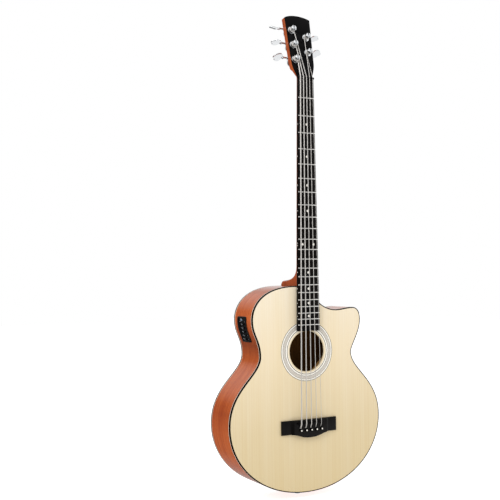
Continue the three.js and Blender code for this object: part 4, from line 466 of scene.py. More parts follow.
# Rosette
# Rings of plastic let into the soundboard round the hole: thin dark lines, white borders and a
# middle band of slanting grey and white mosaic, all sanded flush and lacquered over.
def plastic_finish(name, colour, roughness=0.3, gloss=0.4):
    """Moulded or laid plastic under polish, with a faint unevenness that catches the light."""
    material, tree, shader, place = finish(name, roughness, gloss=gloss)
    cloud = node(tree, "ShaderNodeTexNoise", {"Vector": place, "Scale": 60.0, "Detail": 3.0})
    tint = node(tree, "ShaderNodeMix", {0: cloud.outputs[0], 6: paint(colour[0]), 7: paint(colour[1])},
                data_type="RGBA")
    rough = node(tree, "ShaderNodeMapRange", {0: cloud.outputs[0], 3: roughness * 0.8, 4: roughness * 1.2})
    tree.links.new(tint.outputs[2], shader.inputs["Base Color"])
    tree.links.new(rough.outputs[0], shader.inputs["Roughness"])
    return material


def mosaic_finish():
    """Slanting chips of grey and white plastic, each about 2 mm wide, in a polar pattern."""
    material, tree, shader, place = finish("mosaic_band", 0.3, gloss=0.4)
    centred = node(tree, "ShaderNodeVectorMath", {0: place, 1: at(0, 0, HOLE_Z)}, operation="SUBTRACT")
    parts = node(tree, "ShaderNodeSeparateXYZ", {0: centred.outputs[0]})
    angle = node(tree, "ShaderNodeMath", {0: parts.outputs[2], 1: parts.outputs[0]}, operation="ARCTAN2")
    span = node(tree, "ShaderNodeVectorMath", {0: centred.outputs[0]}, operation="LENGTH")
    chips = node(tree, "ShaderNodeMath", {0: angle.outputs[0], 1: 130.0 / math.tau}, operation="MULTIPLY")
    slant = node(tree, "ShaderNodeMath", {0: span.outputs[1], 1: 420.0}, operation="MULTIPLY")
    run = node(tree, "ShaderNodeMath", {0: chips.outputs[0], 1: slant.outputs[0]})
    step = node(tree, "ShaderNodeMath", {0: run.outputs[0]}, operation="FRACT")
    chip = node(tree, "ShaderNodeValToRGB", {0: step.outputs[0]}, ramp=[
        (0.42, "#e6dfd3"), (0.5, "#a8a197"), (0.9, "#b8b1a7"), (0.97, "#e6dfd3"),
    ])
    tree.links.new(chip.outputs[0], shader.inputs["Base Color"])
    return material


cream = plastic_finish("cream_plastic", ("#faf2e1", "#f3ead6"))
white_plastic = plastic_finish("white_plastic", ("#fffcf4", "#fbf6ea"))
grey_line = plastic_finish("grey_plastic", ("#5b5753", "#4a4744"))
brown_line = plastic_finish("brown_plastic", ("#45372b", "#382c22"))
mosaic = mosaic_finish()
rosette_rings = [
    (54.5, 57.2, cream), (57.2, 58.6, brown_line), (58.6, 62.2, white_plastic),
    (62.2, 63.0, grey_line), (63.0, 70.2, mosaic), (70.2, 71.0, grey_line),
    (71.0, 74.2, white_plastic), (74.2, 75.5, grey_line),
]
rings = []
for inner, outer, material in rosette_rings:
    rings.append(shaded(flat_ring("ring", inner, outer, -0.03, ROSETTE_DEPTH, count=128), material))
rosette = joined("rosette_inlay", rings)
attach(rosette, "instrument")
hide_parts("rosette")

# Bindings and their lines
# Strips of black plastic bent round both rims of the body to guard the edges, each with a thin
# cream line between it and the rib, and a hair of black in the spruce. All are scraped flush.
DEPTH_NECK = 95
DEPTH_TAIL = 110
BINDING_HEIGHT = 5
LINE_HEIGHT = 1.2
LINE_DEPTH = 1.2
HAIR_LINE = 0.6
PROUD = 0.05
EDGE_ROUND = 0.7


def depth_at(z):
    """The body's depth at one height."""
    return DEPTH_NECK + (DEPTH_TAIL - DEPTH_NECK) * (BODY_TOP - z) / BODY_LENGTH


def from_back(section):
    """A section measured from the front face, as the same section measured from the back."""
    return [(reach, lambda z, depth=depth: depth_at(z) - depth) for reach, depth in section]


def rim_strip(name, corners, first=0, last=None):
    """A strip round the rim, from its section's corners as distance in from the rim and a depth
    that may follow the height."""
    loops = [drawn_in(distance) for distance, _ in corners]
    closed = last is None
    rings = []
    for i in range(first, len(rim) if closed else last + 1):
        k = i % len(rim)
        rings.append([
            at(loop[k].x, depth(loop[k].y) if callable(depth) else depth, loop[k].y)
            for loop, (_, depth) in zip(loops, corners)
        ])
    return lofted(name, rings, closed_run=closed)


black_plastic = plastic_finish("black_plastic", ("#080708", "#0e0d0e"), 0.18, 0.045)
binding_section = [
    (0, BINDING_HEIGHT), (0, EDGE_ROUND), (EDGE_ROUND * 0.3, EDGE_ROUND * 0.3), (EDGE_ROUND, 0),
    (BINDING_WIDTH, 0), (BINDING_WIDTH, BINDING_HEIGHT),
]
for face, section in (("front", binding_section), ("back", from_back(binding_section))):
    binding = rim_strip(f"binding_{face}_strip", section)
    shaded(binding, black_plastic)
    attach(binding, "instrument")
    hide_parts(f"binding_{face}")

hair = rim_strip("hair_line", [
    (BINDING_WIDTH - 0.1, -0.04), (BINDING_WIDTH - 0.1, 0.4),
    (BINDING_WIDTH + HAIR_LINE, 0.4), (BINDING_WIDTH + HAIR_LINE, -0.04),
])
shaded(hair, black_plastic)
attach(hair, "instrument")

TAIL_END = len(bass_rim)
TREBLE_END = len(rim) - 1
rib_front = BINDING_HEIGHT + LINE_HEIGHT
line_section = [
    (-PROUD, BINDING_HEIGHT), (LINE_DEPTH, BINDING_HEIGHT), (LINE_DEPTH, rib_front), (-PROUD, rib_front),
]
for face, section in (("front", line_section), ("back", from_back(line_section))):
    line = rim_strip(f"line_{face}", section, 0, TREBLE_END)
    shaded(line, cream)
    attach(line, "instrument")

# Ribs
# Two thin mahogany boards bent on a hot iron, which meet at the tail on a black strip. The wood
# is stained orange-brown with its pores filled, and has a deep gloss lacquer.
RIB_THICKNESS = 2.5
# Painted light and shade: the ribs and neck share one stain. The ribs' copy is drawn lighter for the light
# on the ribs, and the neck's copy darker for the shade on the headstock's side. The back shares the neck's
# copy.
RIB_LIGHT = "#cf6e38"
RIB_MID = "#bc5a2b"
NECK_LIGHT = "#bb5f2f"
NECK_MID = "#a44a24"
PORE_DARK = "#b0714a"
RIB_REACH = 840


def mahogany_finish(name, mid, light, unrolled=None):
    """Gloss mahogany: ribbon stripes some 12 mm wide and short filled pores along the grain. The
    real pores are 0.2 mm wide, and are drawn about 1 mm wide so that they show. The grain runs up
    and down, or along a bent board whose UV map is given its size in metres. Such a board has
    bands of painted shade and painted reflection across it by height, darkest near the waist."""
    material, tree, shader, place = finish(name, 0.12, gloss=0.5)
    painted_shade_bands = []
    if unrolled:
        height = node(tree, "ShaderNodeMapRange", {
            0: node(tree, "ShaderNodeSeparateXYZ", {0: place}).outputs[2],
            1: at(0, 0, BODY_TAIL).z, 2: at(0, 0, BODY_TOP).z,
        })
        # Painted shade and painted reflection: dark bands by height on the ribs, darkest near the waist.
        painted_shade_bands.append((1.0, height.outputs[0], [
            (0.18, "#ffffff"), (0.31, "#f4eee6"), (0.40, "#dcc8b8"), (0.50, "#ffffff"), (0.61, "#ffffff"),
            (0.66, "#e6dccf"), (0.715, "#bcb0a4"), (0.78, "#ddd0c4"), (0.85, "#ffffff"),
        ]))
        place = node(tree, "ShaderNodeMapping", {
            "Vector": node(tree, "ShaderNodeTexCoord").outputs["UV"],
            "Rotation": (math.pi / 2, 0, 0), "Scale": (*unrolled, 1),
        }).outputs[0]
    ribbon, grain, pores = [
        node(tree, "ShaderNodeTexNoise", {
            "Vector": node(tree, "ShaderNodeMapping", {"Vector": place, "Scale": stretch}).outputs[0],
            "Scale": 1.0, "Detail": detail, "Roughness": coarse,
        }).outputs[0]
        for stretch, detail, coarse in (
            ((80, 80, 3), 2.0, 0.5), ((420, 420, 14), 4.0, 0.6), ((900, 900, 60), 1.0, 0.5),
        )
    ]
    colour = layered(tree, ribbon, [(0.30, mid), (0.68, light)], [
        (0.5, grain, [(0.34, PORE_DARK), (0.56, "#ffffff")]),
        (0.5, pores, [(0.30, "#a0654a"), (0.37, "#ffffff")]), *painted_shade_bands,
    ])
    relief = node(tree, "ShaderNodeBump", {"Height": pores, "Strength": 0.06, "Distance": 0.0001})
    tree.links.new(colour, shader.inputs["Base Color"])
    tree.links.new(relief.outputs[0], shader.inputs["Normal"])
    return material


# A rib's UV map has its depth over the last quarter of u and its run along v.
rib_wood = mahogany_finish("gloss_mahogany_rib", RIB_MID, RIB_LIGHT, (4 * DEPTH_TAIL * MM, RIB_REACH * MM))
mahogany = mahogany_finish("gloss_mahogany", NECK_MID, NECK_LIGHT)
PREAMP_LENGTH = 66
PREAMP_WIDTH = 46
PREAMP_MARGIN = 3
PREAMP_CLEARANCE = 0.4
PREAMP_BELOW_SHOULDER = 73.5
PREAMP_DEPTH_SHARE = 0.535
CAD_BASS_STEPS = (8, 5, 7, 10)


def preamp_frame_of(points):
    """The preamp's frame on the bass rib: x down the body, y to the front, z out of the rib."""
    ends = []
    for drop in (PREAMP_BELOW_SHOULDER, PREAMP_BELOW_SHOULDER + PREAMP_LENGTH):
        z = BODY_TOP - drop
        for above, below in zip(points[4:], points[5:]):
            if below.y < z:
                ends.append(above.lerp(below, (above.y - z) / (above.y - below.y)))
                break
    middle = (ends[0] + ends[1]) / 2
    run = (ends[1] - ends[0]).normalized()
    down = Vector((run.x, 0, run.y))
    front = Vector((0, -1, 0))
    out = down.cross(front)
    centre = at(middle.x, depth_at(middle.y) * PREAMP_DEPTH_SHARE, middle.y)
    return Matrix.Translation(centre) @ Matrix((down, front, out)).transposed().to_4x4()


coarse_template = [(*side[:4], count) for side, count in zip(bass_template, CAD_BASS_STEPS)]
preamp_place = preamp_frame_of(traced(coarse_template))


def in_preamp(x, y, z):
    """A point of the preamp's own frame, in metres in the instrument's frame."""
    return preamp_place @ (Vector((x, y, z)) * MM)


def block(name, place, low, high):
    """A squared block between two corners of a frame."""
    bpy.ops.mesh.primitive_cube_add(size=2)
    piece = bpy.context.object
    piece.name = name
    for vertex in piece.data.vertices:
        vertex.co = place(*[b if c > 0 else a for a, b, c in zip(low, high, vertex.co)])
    return faced_out(piece)


def round_loft(name, place, profile, sides=32):
    """A turned piece about the z axis of a frame, from radius and height pairs."""
    return lofted(name, [
        [place(radius * math.cos(math.tau * i / sides), radius * math.sin(math.tau * i / sides), height)
         for i in range(sides)]
        for radius, height in profile
    ])


JACK_BARREL = 6
JACK_CLEARANCE = 0.3
TAIL_STRIP_WIDTH = 5
seam_half = TAIL_STRIP_WIDTH / 2 + 0.1


def moved(place, x, y, z=0):
    """A frame like another, with its origin at a point of that one."""
    return lambda a, b, c: place(x + a, y + b, z + c)


def jack_drill():
    """The drill for the output jack, which goes up into the tail."""
    radius = JACK_BARREL + JACK_CLEARANCE
    return round_loft("drill", up_from_tail, [(0, -9), (radius, -9), (radius, 9), (0, 9)])


up_from_tail = moved(at, 0, depth_at(BODY_TAIL) / 2, BODY_TAIL)
rib_section = [(0, rib_front), (RIB_THICKNESS, rib_front)]
rib_section += reversed(from_back(rib_section))
for side, first, last in (("bass", 0, TAIL_END), ("treble", TAIL_END, TREBLE_END)):
    rib = rim_strip(f"rib_{side}_bent", rib_section, first, last)
    cut(rib, jack_drill(), block(
        "seam", at, (-seam_half, -9, BODY_TAIL - 9), (seam_half, 200, BODY_TAIL + 9),
    ))
    if side == "bass":
        half_length = PREAMP_LENGTH / 2 - PREAMP_MARGIN + PREAMP_CLEARANCE
        half_width = PREAMP_WIDTH / 2 - PREAMP_MARGIN + PREAMP_CLEARANCE
        cut(rib, block(
            "window", in_preamp, (-half_length, -half_width, -20), (half_length, half_width, 20),
        ))
    shaded(rib, rib_wood)
    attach(rib, "instrument")
    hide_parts(f"rib_{side}")
strip = block("tail_strip", at, (-TAIL_STRIP_WIDTH / 2, rib_front, BODY_TAIL - PROUD),
              (TAIL_STRIP_WIDTH / 2, depth_at(BODY_TAIL) - rib_front, BODY_TAIL + RIB_THICKNESS))
cut(strip, jack_drill())
shaded(strip, black_plastic)
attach(strip, "instrument")

# Back
# Two leaves of the same mahogany, joined on the centre line with a thin cream strip. It is flat
# and leans with the body, which grows deeper towards the tail.
BACK_THICKNESS = 3
BARE_DARK = "#543410"
BARE_LIGHT = "#644016"


def dull_wood_finish(name, roughness, gloss, stretch, detail, stops, bump=0):
    """Wood with no lacquer, streaked along its grain from one colour to another."""
    material, tree, shader, place = finish(name, roughness, gloss=gloss)
    grain = node(tree, "ShaderNodeTexNoise", {
        "Vector": node(tree, "ShaderNodeMapping", {"Vector": place, "Scale": stretch}).outputs[0],
        "Scale": 1.0, "Detail": detail,
    }).outputs[0]
    colour = node(tree, "ShaderNodeValToRGB", {0: grain}, ramp=stops)
    tree.links.new(colour.outputs[0], shader.inputs["Base Color"])
    if bump:
        relief = node(tree, "ShaderNodeBump", {"Height": grain, "Strength": bump, "Distance": 0.0002})
        tree.links.new(relief.outputs[0], shader.inputs["Normal"])
    return material


# The inner face of the thin boards is darkened, as it lies in the shade of the body.
bare_wood = dull_wood_finish("bare_mahogany", 0.8, 0.2, (300, 300, 12), 3.0, [
    (0.35, BARE_DARK), (0.65, BARE_LIGHT),
])
back_plate = plate("back_leaf", [drawn_in(BINDING_WIDTH + SEAM)], -BACK_THICKNESS, 0)


def leaning(piece):
    """A piece drawn square, moved to follow the back."""
    for vertex in piece.data.vertices:
        z = vertex.co.z / MM + DRAWING_ORIGIN.z
        vertex.co.y += depth_at(z) * MM
    return piece


shaded(leaning(back_plate), mahogany, bare_wood)
for face in back_plate.data.polygons:
    face.material_index = 1 if face.normal.y < -0.9 else 0
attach(back_plate, "instrument")
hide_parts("back_plate")
seam_strip = block("back_strip", at, (-1.6, -0.6, BODY_TAIL + 1.7), (1.6, 0.06, BODY_TOP - 1.7))
shaded(eased(leaning(seam_strip), 0.03, 1), cream)
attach(seam_strip, "instrument")

# Linings, blocks and braces
# Plain unstained wood inside the body, seen through the sound hole: the spruce braces and the
# cedar-coloured linings and blocks are left as they come from the plane, with grain 3 mm apart.
RAW_DARK = "#8a6432"
RAW_LIGHT = "#a47c46"
raw_wood = dull_wood_finish("raw_wood", 0.75, 0.2, (300, 300, 20), 3.0, [
    (0.35, RAW_DARK), (0.62, RAW_LIGHT),
], bump=0.3)
for name in (
    "lining_front", "lining_back", "neck_block", "tail_block", "x_brace", "upper_brace",
    "bridge_plate", "back_brace_upper", "back_brace_middle", "back_brace_lower",
):
    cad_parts[name].data.materials.clear()
    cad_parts[name].data.materials.append(raw_wood)

# Neck
# One mahogany blank, carved to a round back, with the heel glued under it and the headstock
# leaning back from the nut. It has the same stain and gloss lacquer as the body.
NUT_WIDTH = 44.6
BOARD_END_WIDTH = 64.6
BOARD_UNDERSIDE = 4.5
NECK_DEPTH_NUT = 17.5
NECK_DEPTH_BODY = 21
BACK_POWER = 1.3
HEEL_DEPTH = 91
HEEL_WIDTH = 40
HEEL_ROOT_WIDTH = 42
HEEL_ROOT = 60
HEEL_HOLLOW = 28
HEEL_HOLLOW_DEPTH = 36
HEEL_UNDERSIDE = 16
HEEL_CAP_HEIGHT = 14
HEEL_NOSE = 7
HEEL_CORNER = 5
HEAD_TILT = math.radians(12)
HEAD_LENGTH = 162.5
HEAD_TOP = 74.6
HEAD_SHOULDER = 66.4
HEAD_SHOULDER_AT = 41
HEAD_CROWN = 9.8
HEAD_DROP = 0.5
HEAD_THICKNESS = 14.5
HEAD_FACE = 5.5
NUT_LENGTH = 5
VENEER = 1.5
POSTS = [
    (-22.5, 46.5), (-22.5, 86.8), (-22.5, 127.1), (18.5, 111), (18.5, 69),
]
head_place = Matrix.Translation(at(0, -HEAD_FACE, NUT_LENGTH)) @ Matrix((
    (1, 0, 0),
    (0, math.sin(HEAD_TILT), math.cos(HEAD_TILT)),
    (0, -math.cos(HEAD_TILT), math.sin(HEAD_TILT)),
)).transposed().to_4x4()


def on_head(x, y, z):
    """A point of the headstock's frame: x across, y up its face, z out of its face."""
    return head_place @ (Vector((x, y, z)) * MM)


def board_half(z):
    """Half the fretboard's width at one height."""
    return (NUT_WIDTH + (BOARD_END_WIDTH - NUT_WIDTH) * -z / BOARD_LENGTH) / 2


angles = [math.pi * i / 40 for i in range(41)]


def round_back(half, deep, power=BACK_POWER):
    """A round back's section as across and down, squarer as its power falls below one."""
    return [
        (-half * math.copysign(abs(math.cos(a)) ** power, math.cos(a)), deep * math.sin(a) ** power)
        for a in angles
    ]


def neck_ring(z, top, half, deep):
    """The neck's round back under its flat top, at one height."""
    return [at(x, top + y, z) for x, y in round_back(half, deep)]


def heel_ring(depth, tip):
    """The heel's outline at one depth: straight sides up from the body to a rounded nose."""
    share = min(1, depth / (NECK_DEPTH_BODY * 1.2))
    half = (HEEL_ROOT_WIDTH + (HEEL_WIDTH - HEEL_ROOT_WIDTH) * share) / 2
    nose = [
        at(-half * math.cos(a), depth, BODY_TOP + tip - HEEL_NOSE * (1 - math.sin(a) ** 0.7))
        for a in angles
    ]
    return [at(-half, depth, BODY_TOP), *nose, at(half, depth, BODY_TOP)]


neck_rings = []
for i in range(13):
    z = BODY_TOP * (1 - i / 12)
    deep = NECK_DEPTH_NUT + (NECK_DEPTH_BODY - NECK_DEPTH_NUT) * -z / NUT_TO_BODY
    neck_rings.append(neck_ring(z, -BOARD_UNDERSIDE, board_half(z), deep))
# Past the nut the round back rises into the underside of the leaning headstock.
for z, share, deep in (
    (5, 1.0, 17.2), (9, 0.98, 16.6), (14.4, 0.96, 15.6), (20, 0.9, 14.2), (26, 0.8, 12.4),
):
    top = -BOARD_UNDERSIDE + z * math.tan(HEAD_TILT)
    neck_rings.append(neck_ring(z, top, NUT_WIDTH / 2 * share, deep))
neck = lofted("neck_carved", neck_rings)
hidden_depth = NECK_DEPTH_BODY - 2 * BOARD_UNDERSIDE
heel_rings = [heel_ring(0, HEEL_ROOT)]
for point in swept((
    (hidden_depth, HEEL_ROOT), (hidden_depth, HEEL_HOLLOW),
    (HEEL_HOLLOW_DEPTH, HEEL_UNDERSIDE), (HEEL_DEPTH, HEEL_CAP_HEIGHT),
), 41)[1:]:
    corner = max(0, point.x - (HEEL_DEPTH - HEEL_CORNER))
    drop = HEEL_CORNER - math.sqrt(HEEL_CORNER ** 2 - corner ** 2)
    heel_rings.append(heel_ring(point.x, point.y - drop))
cut(neck, lofted("heel", heel_rings), operation="UNION")


def head_outline(foot):
    """The headstock's outline in its own frame, from the foot round the crown."""
    shoulder, top, nut = HEAD_SHOULDER / 2, HEAD_TOP / 2, NUT_WIDTH / 2
    flare = shoulder - nut
    crown = HEAD_LENGTH + HEAD_CROWN
    flank = swept(((nut, 0), (nut + flare * 0.3, HEAD_SHOULDER_AT * 0.3),
                   (shoulder - flare * 0.05, HEAD_SHOULDER_AT * 0.6), (shoulder, HEAD_SHOULDER_AT)), 14)
    arch = swept(((top, HEAD_LENGTH), (top * 0.4, crown), (-top * 0.55, crown),
                  (-top, HEAD_LENGTH - HEAD_DROP)), 28)
    mirrored = [Vector((-point.x, point.y)) for point in reversed(flank)]
    return [Vector((-nut, foot)), Vector((nut, foot))] + flank + arch + mirrored


def plate_in(place, name, loops, low, high):
    """A sheet in a frame of its own, between two heights over the frame's face."""
    piece = plate(name, loops, 0, high - low)
    for vertex in piece.data.vertices:
        drawn = vertex.co / MM + DRAWING_ORIGIN
        vertex.co = place(drawn.x, drawn.z, high - drawn.y)
    return faced_out(piece)


POST_HOLE = 5.3
SLEEVE_HOLE = 7.3
head = plate_in(on_head, "head", [head_outline(-1)], -HEAD_THICKNESS, -VENEER)
# The headstock's foot is carved from its square section to the neck's round one.
carving_rings = []
for rise, power, clear in (
    (-0.1, BACK_POWER, 0), (0, BACK_POWER, 0), (0.12, 1.05, 0), (0.25, 0.8, 0),
    (0.37, 0.62, 0), (0.5, 0.45, 0), (0.8, 0.2, 5), (5, 0.1, 10),
):
    half = NUT_WIDTH / 2 + (HEAD_SHOULDER - NUT_WIDTH) / 2 * min(max(rise, 0) * 1.2, 1) + clear
    carving_rings.append([
        on_head(x, rise * HEAD_SHOULDER_AT, -y)
        for x, y in round_back(half, HEAD_THICKNESS * 1.15 + clear, power)
    ])
cut(head, lofted("carving", carving_rings), operation="INTERSECT")
for x, y in POSTS:
    cut(head, round_loft("hole", moved(on_head, x, y), [
        (0, -20), (SLEEVE_HOLE, -20), (SLEEVE_HOLE, 5), (0, 5),
    ]))
cut(neck, head, operation="UNION")
cut(
    neck, block("face_tool", on_head, (-60, 0.3, -VENEER), (60, 60, 30)),
    block("seat_tool", at, (-40, -40, -0.01), (40, -BOARD_UNDERSIDE, NUT_LENGTH + 0.3)),
)
shaded(neck, mahogany, angle=40)
# Painted shade: the tongue is drawn black for the fretboard's shadow over it, though it is part of the
# mahogany neck.
tongue_half = board_half(BODY_TOP) - 3
tongue = block("tongue_under_board", at, (-tongue_half, -BOARD_UNDERSIDE, BODY_TOP - 88),
               (tongue_half, 0, BODY_TOP + 0.5))
shaded(eased(tongue, 0.4), black_plastic)
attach(neck, "instrument")
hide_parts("neck")
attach(tongue, "instrument")

# Headstock face
# A thin black sheet under gloss lacquer, glued on the front of the headstock and filed flush. It
# is left plain.
veneer = plate_in(on_head, "headstock_face", [
    head_outline(0.3), *[circle(x, y, POST_HOLE, 32) for x, y in POSTS],
], -VENEER, 0)
shaded(eased(veneer, 0.35), black_plastic)
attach(veneer, "instrument")
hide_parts("headstock_veneer")

# Fretboard
# A black hardwood board with a satin oiled face, tapered from the nut to the sound hole, with
# nickel-silver frets pressed across it and white dots let in between them.
BOARD_TOP = -12
FRETS = 22
FRET_WIDTH = 2.4
FRET_HEIGHT = 1.2
FRET_SUNK = 0.3
DOT_RADIUS = 3.1
SIDE_DOT_RADIUS = 1.1
OIL_DARK = "#080706"
OIL_LIGHT = "#14100e"


def metal_finish(name, colour, roughness, brushed=0.0, metallic=1.0):
    """Polished or drawn metal, with faint smears in its polish."""
    material, tree, shader, place = finish(name, roughness, metallic)
    smear = node(tree, "ShaderNodeTexNoise", {"Vector": place, "Scale": 140.0, "Detail": 3.0})
    rough = node(tree, "ShaderNodeMapRange", {0: smear.outputs[0], 3: roughness * 0.7, 4: roughness * 1.4})
    tint = node(tree, "ShaderNodeMix", {0: smear.outputs[0], 6: paint(colour[0]), 7: paint(colour[1])},
                data_type="RGBA")
    tree.links.new(rough.outputs[0], shader.inputs["Roughness"])
    tree.links.new(tint.outputs[2], shader.inputs["Base Color"])
    if brushed:
        wind = node(tree, "ShaderNodeTexWave", {
            "Vector": place, "Scale": brushed, "Distortion": 0.0,
        }, bands_direction="Z")
        relief = node(tree, "ShaderNodeBump", {
            "Height": wind.outputs["Fac"], "Strength": 0.5, "Distance": 0.0002,
        })
        tree.links.new(relief.outputs[0], shader.inputs["Normal"])
    return material


# Nearly black, with faint brown streaks some 2.5 mm apart. The board, rubbed by the strings,
# shines less than the bridge.
black_wood, board_wood = [
    dull_wood_finish(name, 0.38, gloss, (400, 400, 14), 4.0, [(0.35, OIL_DARK), (0.7, OIL_LIGHT)], bump=0.25)
    for name, gloss in (("oiled_black_wood", 0.14), ("oiled_board_wood", 0.05))
]
nickel = metal_finish("nickel_silver", ("#f2f0ec", "#e6e4df"), 0.3, metallic=0.6)
chrome = metal_finish("chrome_plate", ("#eceef0", "#dfe1e3"), 0.1)
# The real wrap is 0.4 mm of wire, drawn 1.5 mm apart so that it shows.
string_metal = metal_finish("round_wound_steel", ("#e0dcd7", "#d1cdc8"), 0.35, 210.0, 0.5)


def facing(x, y, z):
    """The frame of the soundboard's face: x across, y up the neck, z out of the face."""
    return at(x, -z, y)


def fret_station(fret):
    """How far a fret lies from the nut."""
    return SCALE * (1 - 2 ** (-fret / 12))


board = plate("fretboard_black", [[
    Vector((-NUT_WIDTH / 2, 0)), Vector((-BOARD_END_WIDTH / 2, -BOARD_LENGTH)),
    Vector((BOARD_END_WIDTH / 2, -BOARD_LENGTH)), Vector((NUT_WIDTH / 2, 0)),
]], BOARD_TOP, -BOARD_UNDERSIDE)
shaded(eased(board, 0.5), board_wood)
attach(board, "instrument")
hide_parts("fretboard")

wires = []
for fret in range(1, FRETS + 1):
    z = -fret_station(fret)
    half = board_half(z) - 0.1
    rows = []
    for x, share in ((-half, 0.0), (-half + 0.15, 0.6), (-half + 0.7, 1.0), (half - 0.7, 1.0),
                     (half - 0.15, 0.6), (half, 0.0)):
        rows.append([
            at(x, BOARD_TOP + FRET_SUNK - (FRET_HEIGHT + FRET_SUNK) * max(share, 0.25) * math.sin(a),
               z - FRET_WIDTH / 2 * math.cos(a))
            for a in [math.pi * i / 8 for i in range(9)]
        ])
    wires.append(lofted("wire", rows))
frets = joined("fret_wires", wires)
shaded(frets, nickel, angle=50)
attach(frets, "instrument")

dots = []
for fret in (3, 5, 7, 9, 12, 15, 17, 19, 21):
    z = -(fret_station(fret) + fret_station(fret - 1)) / 2
    spots = (-16, 16) if fret == 12 else (0,)
    for x in spots:
        dots.append(round_loft("dot", moved(facing, x, z, -BOARD_TOP), [
            (0, -0.5), (DOT_RADIUS, -0.5), (DOT_RADIUS, 0.02), (DOT_RADIUS - 0.2, 0.06), (0, 0.06),
        ]))
    for lift in ((-3, 3) if fret == 12 else (0,)):
        edge = -board_half(z) - 0.04
        dots.append(round_loft("dot", lambda a, b, c: at(edge - c, BOARD_TOP / 2 - 2.2 + a, z + b + lift), [
            (0, -0.4), (SIDE_DOT_RADIUS, -0.4), (SIDE_DOT_RADIUS, 0.02), (0, 0.05),
        ], sides=16))
marks = joined("position_dots", dots)
shaded(marks, white_plastic)
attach(marks, "instrument")

# Nut
# A black block with a slot for each string, glued across the end of the fretboard, with its
# front top edge rounded towards the headstock.
NUT_SPACING = 9.2
NUT_TOP = BOARD_TOP - 3.4
STRING_ABOVE_BOARD = 1.5


def nut_string_y(diameter):
    """The depth of a string's centre on the nut."""
    return BOARD_TOP - STRING_ABOVE_BOARD - diameter / 2


nut = block("nut_slotted", at, (-NUT_WIDTH / 2, NUT_TOP, 0), (NUT_WIDTH / 2, -BOARD_UNDERSIDE, NUT_LENGTH))
eased(nut, 0.7, 3)
for place, diameter in zip(range(-2, 3), STRING_DIAMETERS):
    centre = nut_string_y(diameter)
    slot_half = diameter / 2 + STRING_CLEARANCE
    cut(nut, block("slot", at, (place * NUT_SPACING - slot_half, NUT_TOP - 5, -1),
                   (place * NUT_SPACING + slot_half, centre + slot_half, NUT_LENGTH + 1)))
shaded(nut, black_plastic)
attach(nut, "instrument")
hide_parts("nut")

# Truss rod
# A steel rod under the fretboard with a socket nut that a key reaches through the sound hole.
rod_steel = metal_finish("plain_steel", ("#9a9c9e", "#868889"), 0.35)
for name in ("truss_rod", "truss_rod_nut"):
    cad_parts[name].data.materials.clear()
    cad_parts[name].data.materials.append(rod_steel)

# Bridge
# A black hardwood bridge glued on the soundboard, thick in the middle and scooped to thin wings,
# with a curved belly towards the tail, a slot for the saddle and holes for the pins.
BRIDGE_LENGTH = 160.4
BRIDGE_OFFSET = 2
BRIDGE_HEIGHT = 34.6
BRIDGE_Z = -(SCALE - 5)
BRIDGE_BELLY = 9.8
BRIDGE_BELLY_WIDTH = 112
BRIDGE_THICKNESS = 11
BRIDGE_WING = 4.5
BRIDGE_BLOCK = 96
BRIDGE_RAMP = 10
SADDLE_Z = -(SCALE + 2.5)
SADDLE_LENGTH = 76
SADDLE_WIDTH = 3
SADDLE_TOP = 17
SADDLE_SEAT = -6
SADDLE_CLEARANCE = 0.3

half = BRIDGE_LENGTH / 2
foot = BRIDGE_Z - BRIDGE_HEIGHT
belly = BRIDGE_BELLY_WIDTH / 2
belly_foot = foot - BRIDGE_BELLY
bridge_edge = [(-half, BRIDGE_Z), (-half, foot)]
bridge_edge += swept((
    (-belly, foot), (-belly * 0.6, foot), (-belly * 0.55, belly_foot), (0, belly_foot),
), 20)
bridge_edge += swept((
    (0, belly_foot), (belly * 0.55, belly_foot), (belly * 0.6, foot), (belly, foot),
), 20)[1:]
bridge_edge += [(half, foot), (half, BRIDGE_Z)]
bridge = plate("bridge_carved", [[(BRIDGE_OFFSET + x, z) for x, z in bridge_edge]], -BRIDGE_THICKNESS, 0)
block_half = BRIDGE_BLOCK / 2
ramp = swept((
    (block_half, -BRIDGE_THICKNESS), (block_half + 2.5, -BRIDGE_WING - 1.6),
    (block_half + 6, -BRIDGE_WING), (block_half + BRIDGE_RAMP + 3, -BRIDGE_WING),
), 10)
scoop = [*ramp, (half + 5, -BRIDGE_WING), (half + 5, -20), (block_half, -20)]
for side in (-1, 1):
    cut(bridge, lofted("scoop", [
        [at(BRIDGE_OFFSET + side * x, y, z) for x, y in scoop] for z in (BRIDGE_Z + 5, foot - 20)
    ]))
eased(bridge, 0.9, 3, 50)
slot_length = SADDLE_LENGTH / 2 + SADDLE_CLEARANCE
slot_width = SADDLE_WIDTH / 2 + SADDLE_CLEARANCE
cut(bridge, block("slot", at, (-slot_length, -20, SADDLE_Z - slot_width),
                  (slot_length, SADDLE_SEAT, SADDLE_Z + slot_width)))
cut(bridge, *[plate("hole", [pin_hole(pin)], -20, 5) for pin in pins])
shaded(bridge, black_wood)
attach(bridge, "instrument")
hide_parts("bridge")

# Saddle
# A black strip that stands in the bridge's slot and carries the strings on its rounded top.
saddle = block("saddle_strip", at, (-SADDLE_LENGTH / 2, -SADDLE_TOP, SADDLE_Z - SADDLE_WIDTH / 2),
               (SADDLE_LENGTH / 2, SADDLE_SEAT, SADDLE_Z + SADDLE_WIDTH / 2))
shaded(eased(saddle, 1.1, 4), black_plastic)
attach(saddle, "instrument")
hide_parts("saddle")

